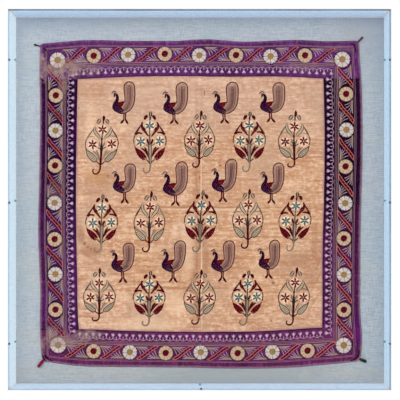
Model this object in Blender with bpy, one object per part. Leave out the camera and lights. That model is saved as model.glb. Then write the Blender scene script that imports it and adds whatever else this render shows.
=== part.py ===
"""Framed embroidered panel: a bordered silk square on a linen-covered board, in a clear box case.

Metres, +Z up. The origin is the centre of the flat back, which goes against a wall, and the
case faces -Y. Places on the cloth are given as x and z, and depths are measured from the back.
"""

import math

import bmesh
import bpy
import numpy as np
from mathutils import Vector

MM = 0.001

# Case of clear sheet
CASE_W = 0.900
CASE_H = 0.895
CASE_D = 0.0635
SHEET_T = 0.004
JOINT = 0.0003
EDGE_POLISH = 0.0005

# Board that fills the back of the case, wrapped in linen
BOARD_T = 0.020
BOARD_PLAY = 0.0005
BOARD_ROUND = 0.0025

# Screws through the walls into the board's edge
SCREW_DEPTH = 0.010
SCREW_R = 0.00175
SCREW_HEAD_R = 0.0034
SCREW_HEAD_H = 0.0018
SCREW_REACH = 0.0165
SCREW_CLEAR = 0.0003
SCREW_SPREAD = 0.343
SCREW_SIDES = 12

# Cloth. The widths and heights are nominal, and the tables below give the wavy edges.
CLOTH_T = 0.0015
CLOTH_W = 0.776
CLOTH_H = 0.790
FIELD_W = 0.594
FIELD_H = 0.612
CORNER_R = 0.010
CORNER_EASE = 0.018
FIELD_CELLS = 32
STRIP_CELLS = 40
STRIP_ROWS = 5
SETTLE_STEPS = 6

# Outer edge of the whole cloth. Columns: place along the side, distance out from the origin, in mm.
# Top and bottom run along x, left and right along z.
EDGE_TOP = (
    (-386, 379), (-340, 382), (-299, 386), (-160, 385.5), (-60, 385.5),
    (22, 389), (90, 384), (242, 387.5), (315, 384.5), (386, 386.5),
)
EDGE_BOTTOM = (
    (-386, 386), (-340, 394), (-308, 398), (-160, 402), (-17, 403.5),
    (80, 405.6), (211, 403.7), (304, 396.4), (346, 392.3), (386, 388),
)
EDGE_LEFT = (
    (-390, 381), (-365, 383.6), (-304, 386.7), (-221, 385.7), (-159, 388),
    (-62, 390.6), (20, 388.7), (240, 386.5), (311, 387.4), (382, 386),
)
EDGE_RIGHT = (
    (-390, 387), (-345, 391), (-270, 387), (-200, 387), (-54, 388),
    (6, 389.5), (101, 392), (300, 389), (340, 386), (386, 384),
)

# Seams between the field and its border, in the same columns
SEAM_TOP = (
    (-390, 291), (-295, 293.3), (-200, 298), (-60, 300.5),
    (60, 299), (200, 299.5), (298, 295), (390, 294),
)
SEAM_BOTTOM = (
    (-390, 313), (-292, 311.5), (-150, 316), (0, 317.5),
    (150, 316), (295, 307.5), (390, 306),
)
SEAM_LEFT = (
    (-320, 292.4), (-282, 294.8), (-180, 297), (-42, 299.3),
    (61, 299.3), (200, 297.5), (300, 295.5),
)
SEAM_RIGHT = (
    (-320, 295.2), (-262, 296.2), (-127, 296.2), (0, 299.5),
    (163, 301.3), (300, 298.4),
)

# Soft folds that lift the cloth off the board.
# Columns: x and z of one end, x and z of the other end, height, half width, in mm.
FOLDS = (
    (-5, 300, -3, -316, 2.4, 26),
    (-295, -14, 298, -20, 1.8, 24),
    (-290, -88, -205, -128, 2.0, 20),
    (-288, -150, -196, -215, 1.8, 20),
    (-292, -232, -226, -286, 1.6, 20),
    (292, -120, 262, -196, 2.0, 18),
    (294, -196, 250, -268, 1.8, 20),
    (-150, 290, -96, 238, 1.2, 22),
    (130, 286, 190, 250, 1.0, 22),
    (-340, 386, -310, 300, 1.6, 20),
    (-120, 384, -104, 304, 1.4, 24),
    (66, 386, 48, 304, 1.8, 22),
    (236, 386, 246, 302, 1.4, 24),
    (-208, -320, -190, -398, 1.6, 24),
    (20, -322, 34, -402, 1.8, 24),
    (226, -316, 246, -398, 1.6, 24),
    (-386, 120, -304, 96, 1.4, 24),
    (-388, -110, -302, -140, 1.6, 22),
    (304, 60, 388, 92, 1.4, 24),
    (302, -160, 386, -196, 1.6, 22),
)
BLISTER_H = 0.0006
BLISTER_X = 0.210
BLISTER_Z = 0.165

# Ties at the corners. Columns: name, corner's x and z signs, x and z of the tip in mm,
# widest radius in mm, share of the length that the knot takes.
TIES = (
    ("tie_top_left", -1, 1, -400.5, 376.5, 2.4, 0.35),
    ("tie_top_right", 1, 1, 393.5, 394.5, 2.6, 0.30),
    ("tassel_bottom_left", -1, -1, -390.8, -402.0, 3.0, 0.28),
    ("tie_bottom_right", 1, -1, 401.7, -389.6, 3.2, 0.55),
)
TIE_SIDES = 8
TIE_FLAT = 0.7
TIE_NECK = 0.45

# Surface colours: red, green, blue
CLEAR = (0.80, 0.90, 0.98)
LINEN = (0.42, 0.45, 0.48)
PEACH = (0.72, 0.44, 0.24)
PURPLE_LIGHT = (0.15, 0.05, 0.16)
PURPLE_DARK = (0.09, 0.02, 0.11)
STEEL = (0.16, 0.16, 0.18)
BROWN = (0.06, 0.03, 0.05)
CRIMSON = (0.30, 0.03, 0.06)
OLIVE = (0.05, 0.05, 0.03)


def clear_scene():
    for old in list(bpy.data.objects):
        bpy.data.objects.remove(old, do_unlink=True)


def finish(name, colour, roughness, metallic=0.0, alpha=1.0):
    """A Principled material."""
    mat = bpy.data.materials.new(name)
    mat.use_nodes = True
    shader = mat.node_tree.nodes["Principled BSDF"]
    shader.inputs["Base Color"].default_value = (*colour, 1.0)
    shader.inputs["Roughness"].default_value = roughness
    shader.inputs["Metallic"].default_value = metallic
    shader.inputs["Alpha"].default_value = alpha
    return mat


def add_object(name, bm, mat, smooth=True):
    """Closes the bmesh into one object whose faces point outwards."""
    bmesh.ops.recalc_face_normals(bm, faces=bm.faces)
    mesh = bpy.data.meshes.new(name)
    bm.to_mesh(mesh)
    bm.free()
    mesh.materials.append(mat)
    if smooth:
        mesh.shade_smooth()
        mesh.set_sharp_from_angle(angle=math.radians(35))
    obj = bpy.data.objects.new(name, mesh)
    bpy.context.collection.objects.link(obj)
    return obj


def prism(bm, outline, y0, y1):
    """A flat outline in x and z, drawn out along y."""
    ring = [bm.verts.new((x, y0, z)) for x, z in outline]
    face = bm.faces.new(ring)
    made = bmesh.ops.extrude_face_region(bm, geom=[face], use_keep_orig=True)
    moved = [item for item in made["geom"] if isinstance(item, bmesh.types.BMVert)]
    bmesh.ops.translate(bm, verts=moved, vec=(0, y1 - y0, 0))


def rings_solid(bm, rings):
    """A closed skin over rings of points, each end capped by a flat face."""
    loops = [[bm.verts.new(p) for p in ring] for ring in rings]
    count = len(loops[0])
    for near, far in zip(loops, loops[1:]):
        for i in range(count):
            j = (i + 1) % count
            bm.faces.new((near[i], near[j], far[j], far[i]))
    bm.faces.new(loops[0])
    bm.faces.new(loops[-1])


def ring(centre, across, up, r_across, r_up, sides):
    """Points of an ellipse round a centre."""
    points = []
    for i in range(sides):
        turn = 2 * math.pi * i / sides
        points.append(centre + across * (r_across * math.cos(turn)) + up * (r_up * math.sin(turn)))
    return points


# Case and board


def build_front():
    mat = finish("clear_front", CLEAR, 0.05, alpha=0.12)
    half_w, half_h = CASE_W / 2, CASE_H / 2
    bm = bmesh.new()
    outline = ((-half_w, -half_h), (half_w, -half_h), (half_w, half_h), (-half_w, half_h))
    prism(bm, outline, -CASE_D, -CASE_D + SHEET_T)
    bmesh.ops.bevel(bm, geom=bm.edges[:], offset=EDGE_POLISH, segments=1, affect="EDGES")
    add_object("case_front", bm, mat, smooth=False)


def wall_outline(half_length, half_out, along, out):
    """A wall's trapezium: full length outside, mitred at both ends, short of its neighbours."""
    ease = JOINT / math.sqrt(2)
    outer = half_length - ease
    inner = outer - SHEET_T
    inside = half_out - SHEET_T
    corners = ((-outer, half_out), (outer, half_out), (inner, inside), (-inner, inside))
    return [tuple(a * along[i] + o * out[i] for i in (0, 1)) for a, o in corners]


def screw_axes():
    """Place and outward direction of each screw, at the face of its wall."""
    axes = []
    for side, sign in (("left", -1), ("right", 1)):
        for number, z in enumerate((SCREW_SPREAD, 0.0, -SCREW_SPREAD), start=1):
            place = Vector((sign * CASE_W / 2, -SCREW_DEPTH, z))
            axes.append((f"screw_{side}_{number}", side, place, Vector((sign, 0, 0))))
    place = Vector((0, -SCREW_DEPTH, -CASE_H / 2))
    axes.append(("screw_bottom", "bottom", place, Vector((0, 0, -1))))
    return axes


def hole_cutter(name, axes):
    """One cylinder along each screw, a little wider than its shank."""
    bm = bmesh.new()
    for _, _, place, outward in axes:
        up = Vector((0, 1, 0))
        across = outward.cross(up)
        near = place + outward * 2 * SCREW_HEAD_H
        far = place - outward * (SCREW_REACH + SCREW_CLEAR)
        radius = SCREW_R + SCREW_CLEAR
        rings_solid(bm, [ring(p, across, up, radius, radius, SCREW_SIDES) for p in (near, far)])
    cutter = add_object(name, bm, finish(name, STEEL, 0.5), smooth=False)
    cutter.hide_render = True
    cutter.display_type = "WIRE"
    return cutter


def cut(obj, cutter):
    boolean = obj.modifiers.new("holes", "BOOLEAN")
    boolean.operation = "DIFFERENCE"
    boolean.object = cutter


def build_walls(axes):
    sides = (
        ("top", CASE_W / 2, CASE_H / 2, (1, 0), (0, 1)),
        ("bottom", CASE_W / 2, CASE_H / 2, (1, 0), (0, -1)),
        ("left", CASE_H / 2, CASE_W / 2, (0, 1), (-1, 0)),
        ("right", CASE_H / 2, CASE_W / 2, (0, 1), (1, 0)),
    )
    for side, half_length, half_out, along, out in sides:
        bm = bmesh.new()
        prism(bm, wall_outline(half_length, half_out, along, out), -CASE_D + SHEET_T + JOINT, 0.0)
        mat = finish(f"clear_{side}", CLEAR, 0.05, alpha=0.3)
        wall = add_object(f"case_{side}", bm, mat, smooth=False)
        here = [axis for axis in axes if axis[1] == side]
        if here:
            cut(wall, hole_cutter(f"cut_{side}", here))


def build_board(axes):
    half_w = CASE_W / 2 - SHEET_T - BOARD_PLAY
    half_h = CASE_H / 2 - SHEET_T - BOARD_PLAY
    bm = bmesh.new()
    outline = ((-half_w, -half_h), (half_w, -half_h), (half_w, half_h), (-half_w, half_h))
    prism(bm, outline, -BOARD_T, 0.0)
    front = [e for e in bm.edges if all(v.co.y < -BOARD_T / 2 for v in e.verts)]
    bmesh.ops.bevel(bm, geom=front, offset=BOARD_ROUND, segments=3, affect="EDGES", profile=0.5)
    board = add_object("mounting_board", bm, finish("linen", LINEN, 0.9))
    cut(board, hole_cutter("cut_board", axes))


def build_screws(axes):
    """Domed screws: head outside the wall, shank through it and into the board."""
    mat = finish("screw_steel", STEEL, 0.35, metallic=1.0)
    # Columns: distance out from the wall's face, radius.
    profile = (
        (JOINT + SCREW_HEAD_H, SCREW_HEAD_R * 0.45),
        (JOINT + SCREW_HEAD_H * 0.7, SCREW_HEAD_R * 0.85),
        (JOINT, SCREW_HEAD_R),
        (JOINT, SCREW_R),
        (-SCREW_REACH * 0.85, SCREW_R),
        (-SCREW_REACH, SCREW_R * 0.4),
    )
    for name, _, place, outward in axes:
        up = Vector((0, 1, 0))
        across = outward.cross(up)
        bm = bmesh.new()
        rings = [ring(place + outward * out, across, up, r, r, SCREW_SIDES) for out, r in profile]
        rings_solid(bm, rings)
        add_object(name, bm, mat)


# Cloth


def curve_through(table, places):
    """A smooth line through a table's points: cubic pieces whose slopes look to both neighbours."""
    t, v = np.array(table, float).T * MM
    slope = np.gradient(v, t)
    places = np.clip(places, t[0], t[-1])
    i = np.clip(np.searchsorted(t, places, side="right") - 1, 0, len(t) - 2)
    span = t[i + 1] - t[i]
    s = (places - t[i]) / span
    a = (1 + 2 * s) * (1 - s) ** 2
    b = s * (1 - s) ** 2
    c = s * s * (3 - 2 * s)
    d = s * s * (s - 1)
    return a * v[i] + b * span * slope[i] + c * v[i + 1] + d * span * slope[i + 1]


def edge_x(sign, z):
    return sign * curve_through(EDGE_RIGHT if sign > 0 else EDGE_LEFT, z)


def edge_z(sign, x):
    """Top or bottom edge, rounded where it reaches the side edges."""
    table = EDGE_TOP if sign > 0 else EDGE_BOTTOM
    out = curve_through(table, x)
    corner_x = CLOTH_W / 2 - CORNER_EASE
    level = sign * curve_through(table, np.clip(x, -corner_x, corner_x))
    side = np.abs(np.where(x > 0, edge_x(1, level), edge_x(-1, level)))
    past = np.clip(np.abs(x) - (side - CORNER_R), 0, CORNER_R)
    drop = CORNER_R - np.sqrt(CORNER_R**2 - past**2)
    return sign * (out - drop)


def seam_x(sign, z):
    return sign * curve_through(SEAM_RIGHT if sign > 0 else SEAM_LEFT, z)


def seam_z(sign, x):
    return sign * curve_through(SEAM_TOP if sign > 0 else SEAM_BOTTOM, x)


def lift(x, z):
    """How far the cloth stands off the board: a low swell, and a rounded ridge along each fold."""
    swell = np.cos(math.pi * x / BLISTER_X) * np.cos(math.pi * z / BLISTER_Z)
    height = BLISTER_H * (0.5 + 0.5 * swell)
    for x0, z0, x1, z1, ridge, half in np.array(FOLDS) * MM:
        dx, dz = x1 - x0, z1 - z0
        length = math.hypot(dx, dz)
        along = ((x - x0) * dx + (z - z0) * dz) / length
        aside = ((x - x0) * dz - (z - z0) * dx) / length
        past = np.maximum(np.maximum(-along, along - length), 0)
        away = np.clip(np.hypot(aside, past) / half, 0, 1)
        height = np.maximum(height, ridge * (0.5 + 0.5 * np.cos(math.pi * away)))
    return height


def stations(cells, corner=0.0):
    """Shares from 0 to 1, even but for two extra near each end where a corner is rounded."""
    shares = np.linspace(0, 1, cells + 1)
    if corner:
        near = np.array((0.3, 0.7)) * corner
        shares = np.sort(np.concatenate((shares, near, 1 - near)))
    return shares


def cloth_piece(name, mat, u, v, place):
    """A sheet with even thickness: its back lies on the board, lifted by the folds."""
    x, z = place(*np.meshgrid(u, v, indexing="ij"))
    back = -(BOARD_T + JOINT + lift(x, z))
    bm = bmesh.new()
    layers = []
    for depth in (back - CLOTH_T, back):
        points = np.stack((x, depth, z), axis=-1)
        layers.append([[bm.verts.new(p) for p in row] for row in points])
    rows, cols = x.shape
    for layer in layers:
        for i in range(rows - 1):
            for j in range(cols - 1):
                bm.faces.new((layer[i][j], layer[i + 1][j], layer[i + 1][j + 1], layer[i][j + 1]))
    rim = [(i, 0) for i in range(rows)] + [(rows - 1, j) for j in range(1, cols)]
    rim += [(i, cols - 1) for i in range(rows - 2, -1, -1)] + [(0, j) for j in range(cols - 2, 0, -1)]
    front, rear = layers
    for (i, j), (k, m) in zip(rim, rim[1:] + rim[:1]):
        bm.faces.new((front[i][j], front[k][m], rear[k][m], rear[i][j]))
    add_object(name, bm, mat)


def settle(x, z, left, right, low, high, u, v):
    """Places a grid between four wavy edges. Each edge depends on the other coordinate, so it repeats."""
    for _ in range(SETTLE_STEPS):
        x, z = left(z) * (1 - u) + right(z) * u, low(x) * (1 - v) + high(x) * v
    return x, z


def seam_at_x(sign, cloth_side):
    """The edge of a piece along an upright seam: cloth_side is 1 outside the seam and -1 inside."""
    return lambda z: seam_x(sign, z) + sign * cloth_side * JOINT / 2


def seam_at_z(sign, cloth_side):
    return lambda x: seam_z(sign, x) + sign * cloth_side * JOINT / 2


def edge_at_x(sign):
    return lambda z: edge_x(sign, z)


def edge_at_z(sign):
    return lambda x: edge_z(sign, x)


def field_places(u, v):
    sides = seam_at_x(-1, -1), seam_at_x(1, -1), seam_at_z(-1, -1), seam_at_z(1, -1)
    return settle(FIELD_W * (u - 0.5), FIELD_H * (v - 0.5), *sides, u, v)


def level_places(sign):
    """The top or bottom strip, which runs the whole width of the cloth."""
    def place(u, v):
        sides = edge_at_x(-1), edge_at_x(1), seam_at_z(sign, 1), edge_at_z(sign)
        z = sign * (FIELD_H + (CLOTH_H - FIELD_H) * v) / 2
        return settle(CLOTH_W * (u - 0.5), z, *sides, u, v)
    return place


def upright_places(sign):
    """The left or right strip, which fits between the other two."""
    def place(u, v):
        sides = seam_at_x(sign, 1), edge_at_x(sign), seam_at_z(-1, -1), seam_at_z(1, -1)
        x = sign * (FIELD_W + (CLOTH_W - FIELD_W) * u) / 2
        return settle(x, FIELD_H * (v - 0.5), *sides, u, v)
    return place


def build_cloth():
    even = stations(FIELD_CELLS)
    across = stations(STRIP_ROWS)
    ends = stations(STRIP_CELLS, CORNER_R / CLOTH_W)
    cloth_piece("silk_field", finish("silk_peach", PEACH, 0.6), even, even, field_places)
    for name, sign in (("border_top", 1), ("border_bottom", -1)):
        cloth_piece(name, finish(f"silk_{name}", PURPLE_LIGHT, 0.6), ends, across, level_places(sign))
    for name, sign in (("border_left", -1), ("border_right", 1)):
        cloth_piece(name, finish(f"silk_{name}", PURPLE_DARK, 0.6), across, even, upright_places(sign))


def build_ties():
    """Short knotted cords sewn to the cloth's corners and lying on the linen."""
    colours = (BROWN, BROWN, CRIMSON, OLIVE)
    for (name, side_x, side_z, tip_x, tip_z, widest, knot), colour in zip(TIES, colours):
        corner_x = edge_x(side_x, side_z * (CLOTH_H / 2 - CORNER_EASE))
        corner_z = edge_z(side_z, side_x * (CLOTH_W / 2 - CORNER_EASE))
        centre = Vector((corner_x - side_x * CORNER_R, 0, corner_z - side_z * CORNER_R))
        tip = Vector((tip_x * MM, 0, tip_z * MM))
        along = (tip - centre).normalized()
        root = centre + along * (CORNER_R + JOINT)
        up = Vector((0, 1, 0))
        across = along.cross(up)
        radius = widest * MM
        # Columns: share of the length, share of the widest radius.
        profile = (
            (0.0, TIE_NECK), (knot * 0.5, 0.95), (knot, TIE_NECK * 1.1),
            (0.5 + knot * 0.5, 0.85), (0.93, 1.0), (1.0, 0.6),
        )
        depth = Vector((0, -(BOARD_T + JOINT + radius * TIE_FLAT), 0))
        rings = []
        for share, wide in profile:
            r = radius * wide
            rings.append(ring(root.lerp(tip, share) + depth, across, up, r, r * TIE_FLAT, TIE_SIDES))
        bm = bmesh.new()
        rings_solid(bm, rings)
        add_object(name, bm, finish(f"thread_{name}", colour, 0.8))


def main():
    clear_scene()
    axes = screw_axes()
    build_front()
    build_walls(axes)
    build_board(axes)
    build_screws(axes)
    build_cloth()
    build_ties()


main()
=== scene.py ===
"""Looks of the framed embroidered panel, laid out as a Blender add-on and run as a script.

Metres, +Z up, and the front of the case faces -Y. The silk lies on a linen board, so a place on it is
given as x and z, and the cloth's height off the board follows from these two alone.
Every row of stitching is a ribbed strip swept along a path that lies on the cloth.
"""

import math

import bpy
import numpy as np
from bpy.props import FloatProperty, FloatVectorProperty, PointerProperty
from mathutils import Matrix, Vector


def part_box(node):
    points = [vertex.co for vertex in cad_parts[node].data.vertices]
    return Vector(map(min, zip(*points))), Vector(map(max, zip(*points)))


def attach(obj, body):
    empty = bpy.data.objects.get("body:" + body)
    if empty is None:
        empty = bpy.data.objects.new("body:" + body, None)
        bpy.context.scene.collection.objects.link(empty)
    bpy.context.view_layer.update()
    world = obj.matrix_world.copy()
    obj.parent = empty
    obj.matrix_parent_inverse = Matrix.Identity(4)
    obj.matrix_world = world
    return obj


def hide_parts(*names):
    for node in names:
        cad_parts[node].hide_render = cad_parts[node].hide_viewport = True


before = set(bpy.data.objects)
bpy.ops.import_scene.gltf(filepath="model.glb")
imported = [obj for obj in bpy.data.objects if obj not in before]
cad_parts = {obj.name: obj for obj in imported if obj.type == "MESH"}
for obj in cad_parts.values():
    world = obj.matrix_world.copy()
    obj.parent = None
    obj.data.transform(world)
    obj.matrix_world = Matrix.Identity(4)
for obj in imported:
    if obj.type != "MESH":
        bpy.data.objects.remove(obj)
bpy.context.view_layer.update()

bl_info = {
    "name": "Framed Embroidered Panel",
    "version": (1, 0, 0),
    "blender": (4, 5, 0),
    "location": "3D View > Sidebar > Panel",
    "description": "Makes a bordered silk square with chain stitching, on linen in a clear box case",
    "category": "Add Mesh",
}

MM = 0.001
CM = 0.01
BODY = "root"

# Case, board and cloth, as in the part
CASE_W, CASE_H, CASE_D = 0.900, 0.895, 0.0635
SHEET_T = 0.004
BOARD_T = 0.020
JOINT = 0.0003
CLOTH_T = 0.0015
CLOTH_W, CLOTH_H = 0.776, 0.790
FIELD_W, FIELD_H = 0.594, 0.612
CORNER_R = 0.010
CORNER_EASE = 0.018
SETTLE_STEPS = 6

# Outer edge of the whole cloth. Columns: place along the side, distance out from the origin, in mm.
EDGE_TOP = (
    (-386, 379), (-340, 382), (-299, 386), (-160, 385.5), (-60, 385.5), (22, 389), (90, 384), (242, 387.5),
    (315, 384.5), (386, 386.5),
)
EDGE_BOTTOM = (
    (-386, 386), (-340, 394), (-308, 398), (-160, 402), (-17, 403.5), (80, 405.6), (211, 403.7),
    (304, 396.4), (346, 392.3), (386, 388),
)
EDGE_LEFT = (
    (-390, 381), (-365, 383.6), (-304, 386.7), (-221, 385.7), (-159, 388), (-62, 390.6), (20, 388.7),
    (240, 386.5), (311, 387.4), (382, 386),
)
EDGE_RIGHT = (
    (-390, 387), (-345, 391), (-270, 387), (-200, 387), (-54, 388), (6, 389.5), (101, 392), (300, 389),
    (340, 386), (386, 384),
)

# Seams between the field and its border, in the same columns
SEAM_TOP = (
    (-390, 291), (-295, 293.3), (-200, 298), (-60, 300.5), (60, 299), (200, 299.5), (298, 295), (390, 294),
)
SEAM_BOTTOM = (
    (-390, 313), (-292, 311.5), (-150, 316), (0, 317.5), (150, 316), (295, 307.5), (390, 306),
)
SEAM_LEFT = (
    (-320, 292.4), (-282, 294.8), (-180, 297), (-42, 299.3), (61, 299.3), (200, 297.5), (300, 295.5),
)
SEAM_RIGHT = (
    (-320, 295.2), (-262, 296.2), (-127, 296.2), (0, 299.5), (163, 301.3), (300, 298.4),
)

# Soft folds of the part, then the sharper creases that only the looks carry.
# Columns: x and z of one end, x and z of the other end, height, half width, in mm.
FOLDS = (
    (-5, 300, -3, -316, 2.4, 26), (-295, -14, 298, -20, 1.8, 24), (-290, -88, -205, -128, 2.0, 20),
    (-288, -150, -196, -215, 1.8, 20), (-292, -232, -226, -286, 1.6, 20), (292, -120, 262, -196, 2.0, 18),
    (294, -196, 250, -268, 1.8, 20), (-150, 290, -96, 238, 1.2, 22), (130, 286, 190, 250, 1.0, 22),
    (-340, 386, -310, 300, 1.6, 20), (-120, 384, -104, 304, 1.4, 24), (66, 386, 48, 304, 1.8, 22),
    (236, 386, 246, 302, 1.4, 24), (-208, -320, -190, -398, 1.6, 24), (20, -322, 34, -402, 1.8, 24),
    (226, -316, 246, -398, 1.6, 24), (-386, 120, -304, 96, 1.4, 24), (-388, -110, -302, -140, 1.6, 22),
    (304, 60, 388, 92, 1.4, 24), (302, -160, 386, -196, 1.6, 22),
)
CREASES = (
    (-9, 298, -7, -314, 0.8, 5), (4, 296, 2, -312, 0.7, 6), (-294, -12, 296, -18, 0.6, 6),
    (-292, -62, -236, -84, 0.7, 7), (-294, -118, -214, -170, 0.8, 8), (-290, -196, -236, -246, 0.7, 7),
    (-284, -262, -246, -296, 0.6, 6), (296, -130, 278, -168, 0.9, 6), (295, -168, 268, -218, 0.9, 7),
    (294, -216, 262, -262, 0.8, 6), (-80, 296, -66, 252, 0.5, 6), (98, 294, 112, 246, 0.5, 7),
    (-230, 290, -244, 236, 0.4, 7), (240, 290, 262, 214, 0.5, 8),
)
BLISTER_H, BLISTER_X, BLISTER_Z = 0.0006, 0.210, 0.165

# Hem and seam, as heights above the plain silk
HEM_W, HEM_H = 0.012, 0.00035
BORDER_H = 0.0004
STEP_W = 0.0015
ROLL_W, ROLL_H = 0.0018, 0.0007

# Chain stitch. One stitch is a narrow beat of its row and a full one.
STITCH = 0.004
BEATS = np.array((0.74, 1.0))
BEAT_HEIGHTS = np.array((0.6, 1.0))
RIB_ACROSS = np.array((-1.0, -0.62, 0.0, 0.62, 1.0))
RIB_UP = np.array((0.0, 0.78, 1.0, 0.78, 0.0))
ROW_W, LEAST_ROW_W = 0.0016, 0.0007
ROW_H, ROW_TALL = 0.00062, (0.6, 1.25)
ROW_SINK = 0.00022
END_WIDTH, END_HEIGHT = 0.6, 0.5
OVERLAP = 1.5
NO_LENGTH = 1e-9

# Light. The studio lights add to the white surroundings, so the finishes are this much darker.
SHADE = 0.84
CAMERA_PLACE = (0.0315, -1.5305, -0.0762)
CAMERA_LENS, CAMERA_SENSOR = 56.2, 36.0
CAMERA_SHIFT = (-0.0325, 0.08)
FLOOR_Z = -1.45

rng = np.random.default_rng(7)


def tint(red, green, blue):
    """A colour given 0 to 255 a channel, as the linear colour that a shader takes."""
    share = np.array((red, green, blue)) / 255
    return tuple(float(c) for c in np.where(share < 0.04045, share / 12.92, ((share + 0.055) / 1.055) ** 2.4))


# Cloth


def through(t, v, places):
    """Cubic pieces through the values v at t. Each piece's end slopes look to both neighbours."""
    slope = np.gradient(v, t, axis=0)
    places = np.clip(places, t[0], t[-1])
    i = np.clip(np.searchsorted(t, places, side="right") - 1, 0, len(t) - 2)
    span = t[i + 1] - t[i]
    s = (places - t[i]) / span
    if v.ndim == 2:
        span, s = span[:, None], s[:, None]
    a = (1 + 2 * s) * (1 - s) ** 2
    b = s * (1 - s) ** 2
    c = s * s * (3 - 2 * s)
    d = s * s * (s - 1)
    return a * v[i] + b * span * slope[i] + c * v[i + 1] + d * span * slope[i + 1]


def curve_through(table, places):
    """The smooth line through a table of places and distances in mm."""
    t, v = np.array(table, float).T * MM
    return through(t, v, places)


def edge_x(sign, z):
    return sign * curve_through(EDGE_RIGHT if sign > 0 else EDGE_LEFT, z)


def level_edge(sign, x):
    """Top or bottom edge as if it ran on past the rounded corners."""
    return sign * curve_through(EDGE_TOP if sign > 0 else EDGE_BOTTOM, x)


def edge_z(sign, x):
    """Top or bottom edge, rounded where it reaches the side edges."""
    corner_x = CLOTH_W / 2 - CORNER_EASE
    level = level_edge(sign, np.clip(x, -corner_x, corner_x))
    side = np.abs(np.where(x > 0, edge_x(1, level), edge_x(-1, level)))
    past = np.clip(np.abs(x) - (side - CORNER_R), 0, CORNER_R)
    drop = CORNER_R - np.sqrt(CORNER_R**2 - past**2)
    return level_edge(sign, x) - sign * drop


def seam_x(sign, z):
    return sign * curve_through(SEAM_RIGHT if sign > 0 else SEAM_LEFT, z)


def seam_z(sign, x):
    return sign * curve_through(SEAM_TOP if sign > 0 else SEAM_BOTTOM, x)


def smooth(share):
    """0 to 1 with level ends: three squares less two cubes."""
    share = np.clip(share, 0, 1)
    return share * share * (3 - 2 * share)


def ridges(x, z, table, height):
    """The highest of the table's ridges at each place: a raised cosine of the distance to a line."""
    for x0, z0, x1, z1, ridge, half in np.array(table) * MM:
        dx, dz = x1 - x0, z1 - z0
        length = math.hypot(dx, dz)
        along = ((x - x0) * dx + (z - z0) * dz) / length
        aside = ((x - x0) * dz - (z - z0) * dx) / length
        past = np.maximum(np.maximum(-along, along - length), 0)
        away = np.clip(np.hypot(aside, past) / half, 0, 1)
        height = np.maximum(height, ridge * (0.5 + 0.5 * np.cos(math.pi * away)))
    return height


def lift(x, z):
    """How far the cloth's back stands off the board: a low swell, the folds, and the creases on top."""
    swell = np.cos(math.pi * x / BLISTER_X) * np.cos(math.pi * z / BLISTER_Z)
    height = ridges(x, z, FOLDS, BLISTER_H * (0.5 + 0.5 * swell))
    return height + ridges(x, z, CREASES, 0.0)


def from_seam(x, z):
    """How far inside the field a place lies: the least of its distances to the four seams."""
    return np.minimum.reduce((seam_x(1, z) - x, x - seam_x(-1, z), seam_z(1, x) - z, z - seam_z(-1, x)))


def from_edge(x, z):
    """How far in from the cloth's edge a place lies."""
    return np.minimum.reduce((edge_x(1, z) - x, x - edge_x(-1, z), edge_z(1, x) - z, z - edge_z(-1, x)))


def relief(x, z):
    """Height of hem and border above the plain silk: one soft step at the seam and one at the hem."""
    inset = from_edge(x, z)
    border = BORDER_H * smooth(-from_seam(x, z) / STEP_W)
    hem = HEM_H * smooth((HEM_W - inset) / STEP_W)
    rolled = ROLL_H * (1 - smooth(inset / ROLL_W))
    return border + hem - rolled


def cloth_front(x, z):
    """Depth of the cloth's front face."""
    return -(BOARD_T + JOINT + lift(x, z) + CLOTH_T + relief(x, z))


def settle(x, z, left, right, low, high, u, v):
    """Places a grid between four wavy edges. Each edge depends on the other coordinate, so it repeats."""
    for _ in range(SETTLE_STEPS):
        x, z = left(z) * (1 - u) + right(z) * u, low(x) * (1 - v) + high(x) * v
    return x, z


def seam_at_x(sign, cloth_side):
    return lambda z: seam_x(sign, z) + sign * cloth_side * JOINT / 2


def seam_at_z(sign, cloth_side):
    return lambda x: seam_z(sign, x) + sign * cloth_side * JOINT / 2


def field_places(u, v):
    sides = seam_at_x(-1, -1), seam_at_x(1, -1), seam_at_z(-1, -1), seam_at_z(1, -1)
    return settle(FIELD_W * (u - 0.5), FIELD_H * (v - 0.5), *sides, u, v)


def level_places(sign):
    """The top or bottom strip, which runs the whole width of the cloth."""
    def place(u, v):
        sides = lambda z: edge_x(-1, z), lambda z: edge_x(1, z), seam_at_z(sign, 1), lambda x: edge_z(sign, x)
        z = sign * (FIELD_H + (CLOTH_H - FIELD_H) * v) / 2
        return settle(CLOTH_W * (u - 0.5), z, *sides, u, v)
    return place


def upright_places(sign):
    """The left or right strip, which fits between the other two."""
    def place(u, v):
        sides = seam_at_x(sign, 1), lambda z: edge_x(sign, z), seam_at_z(-1, -1), seam_at_z(1, -1)
        x = sign * (FIELD_W + (CLOTH_W - FIELD_W) * u) / 2
        return settle(x, FIELD_H * (v - 0.5), *sides, u, v)
    return place


def stations(cells, corner=0.0):
    """Shares from 0 to 1, even but for a few extra near each end where a corner is rounded."""
    shares = np.linspace(0, 1, cells + 1)
    if corner:
        near = np.array((0.08, 0.2, 0.35, 0.75)) * corner
        shares = np.unique(np.concatenate((shares, near, 1 - near)))
    return shares


# Pieces


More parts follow.
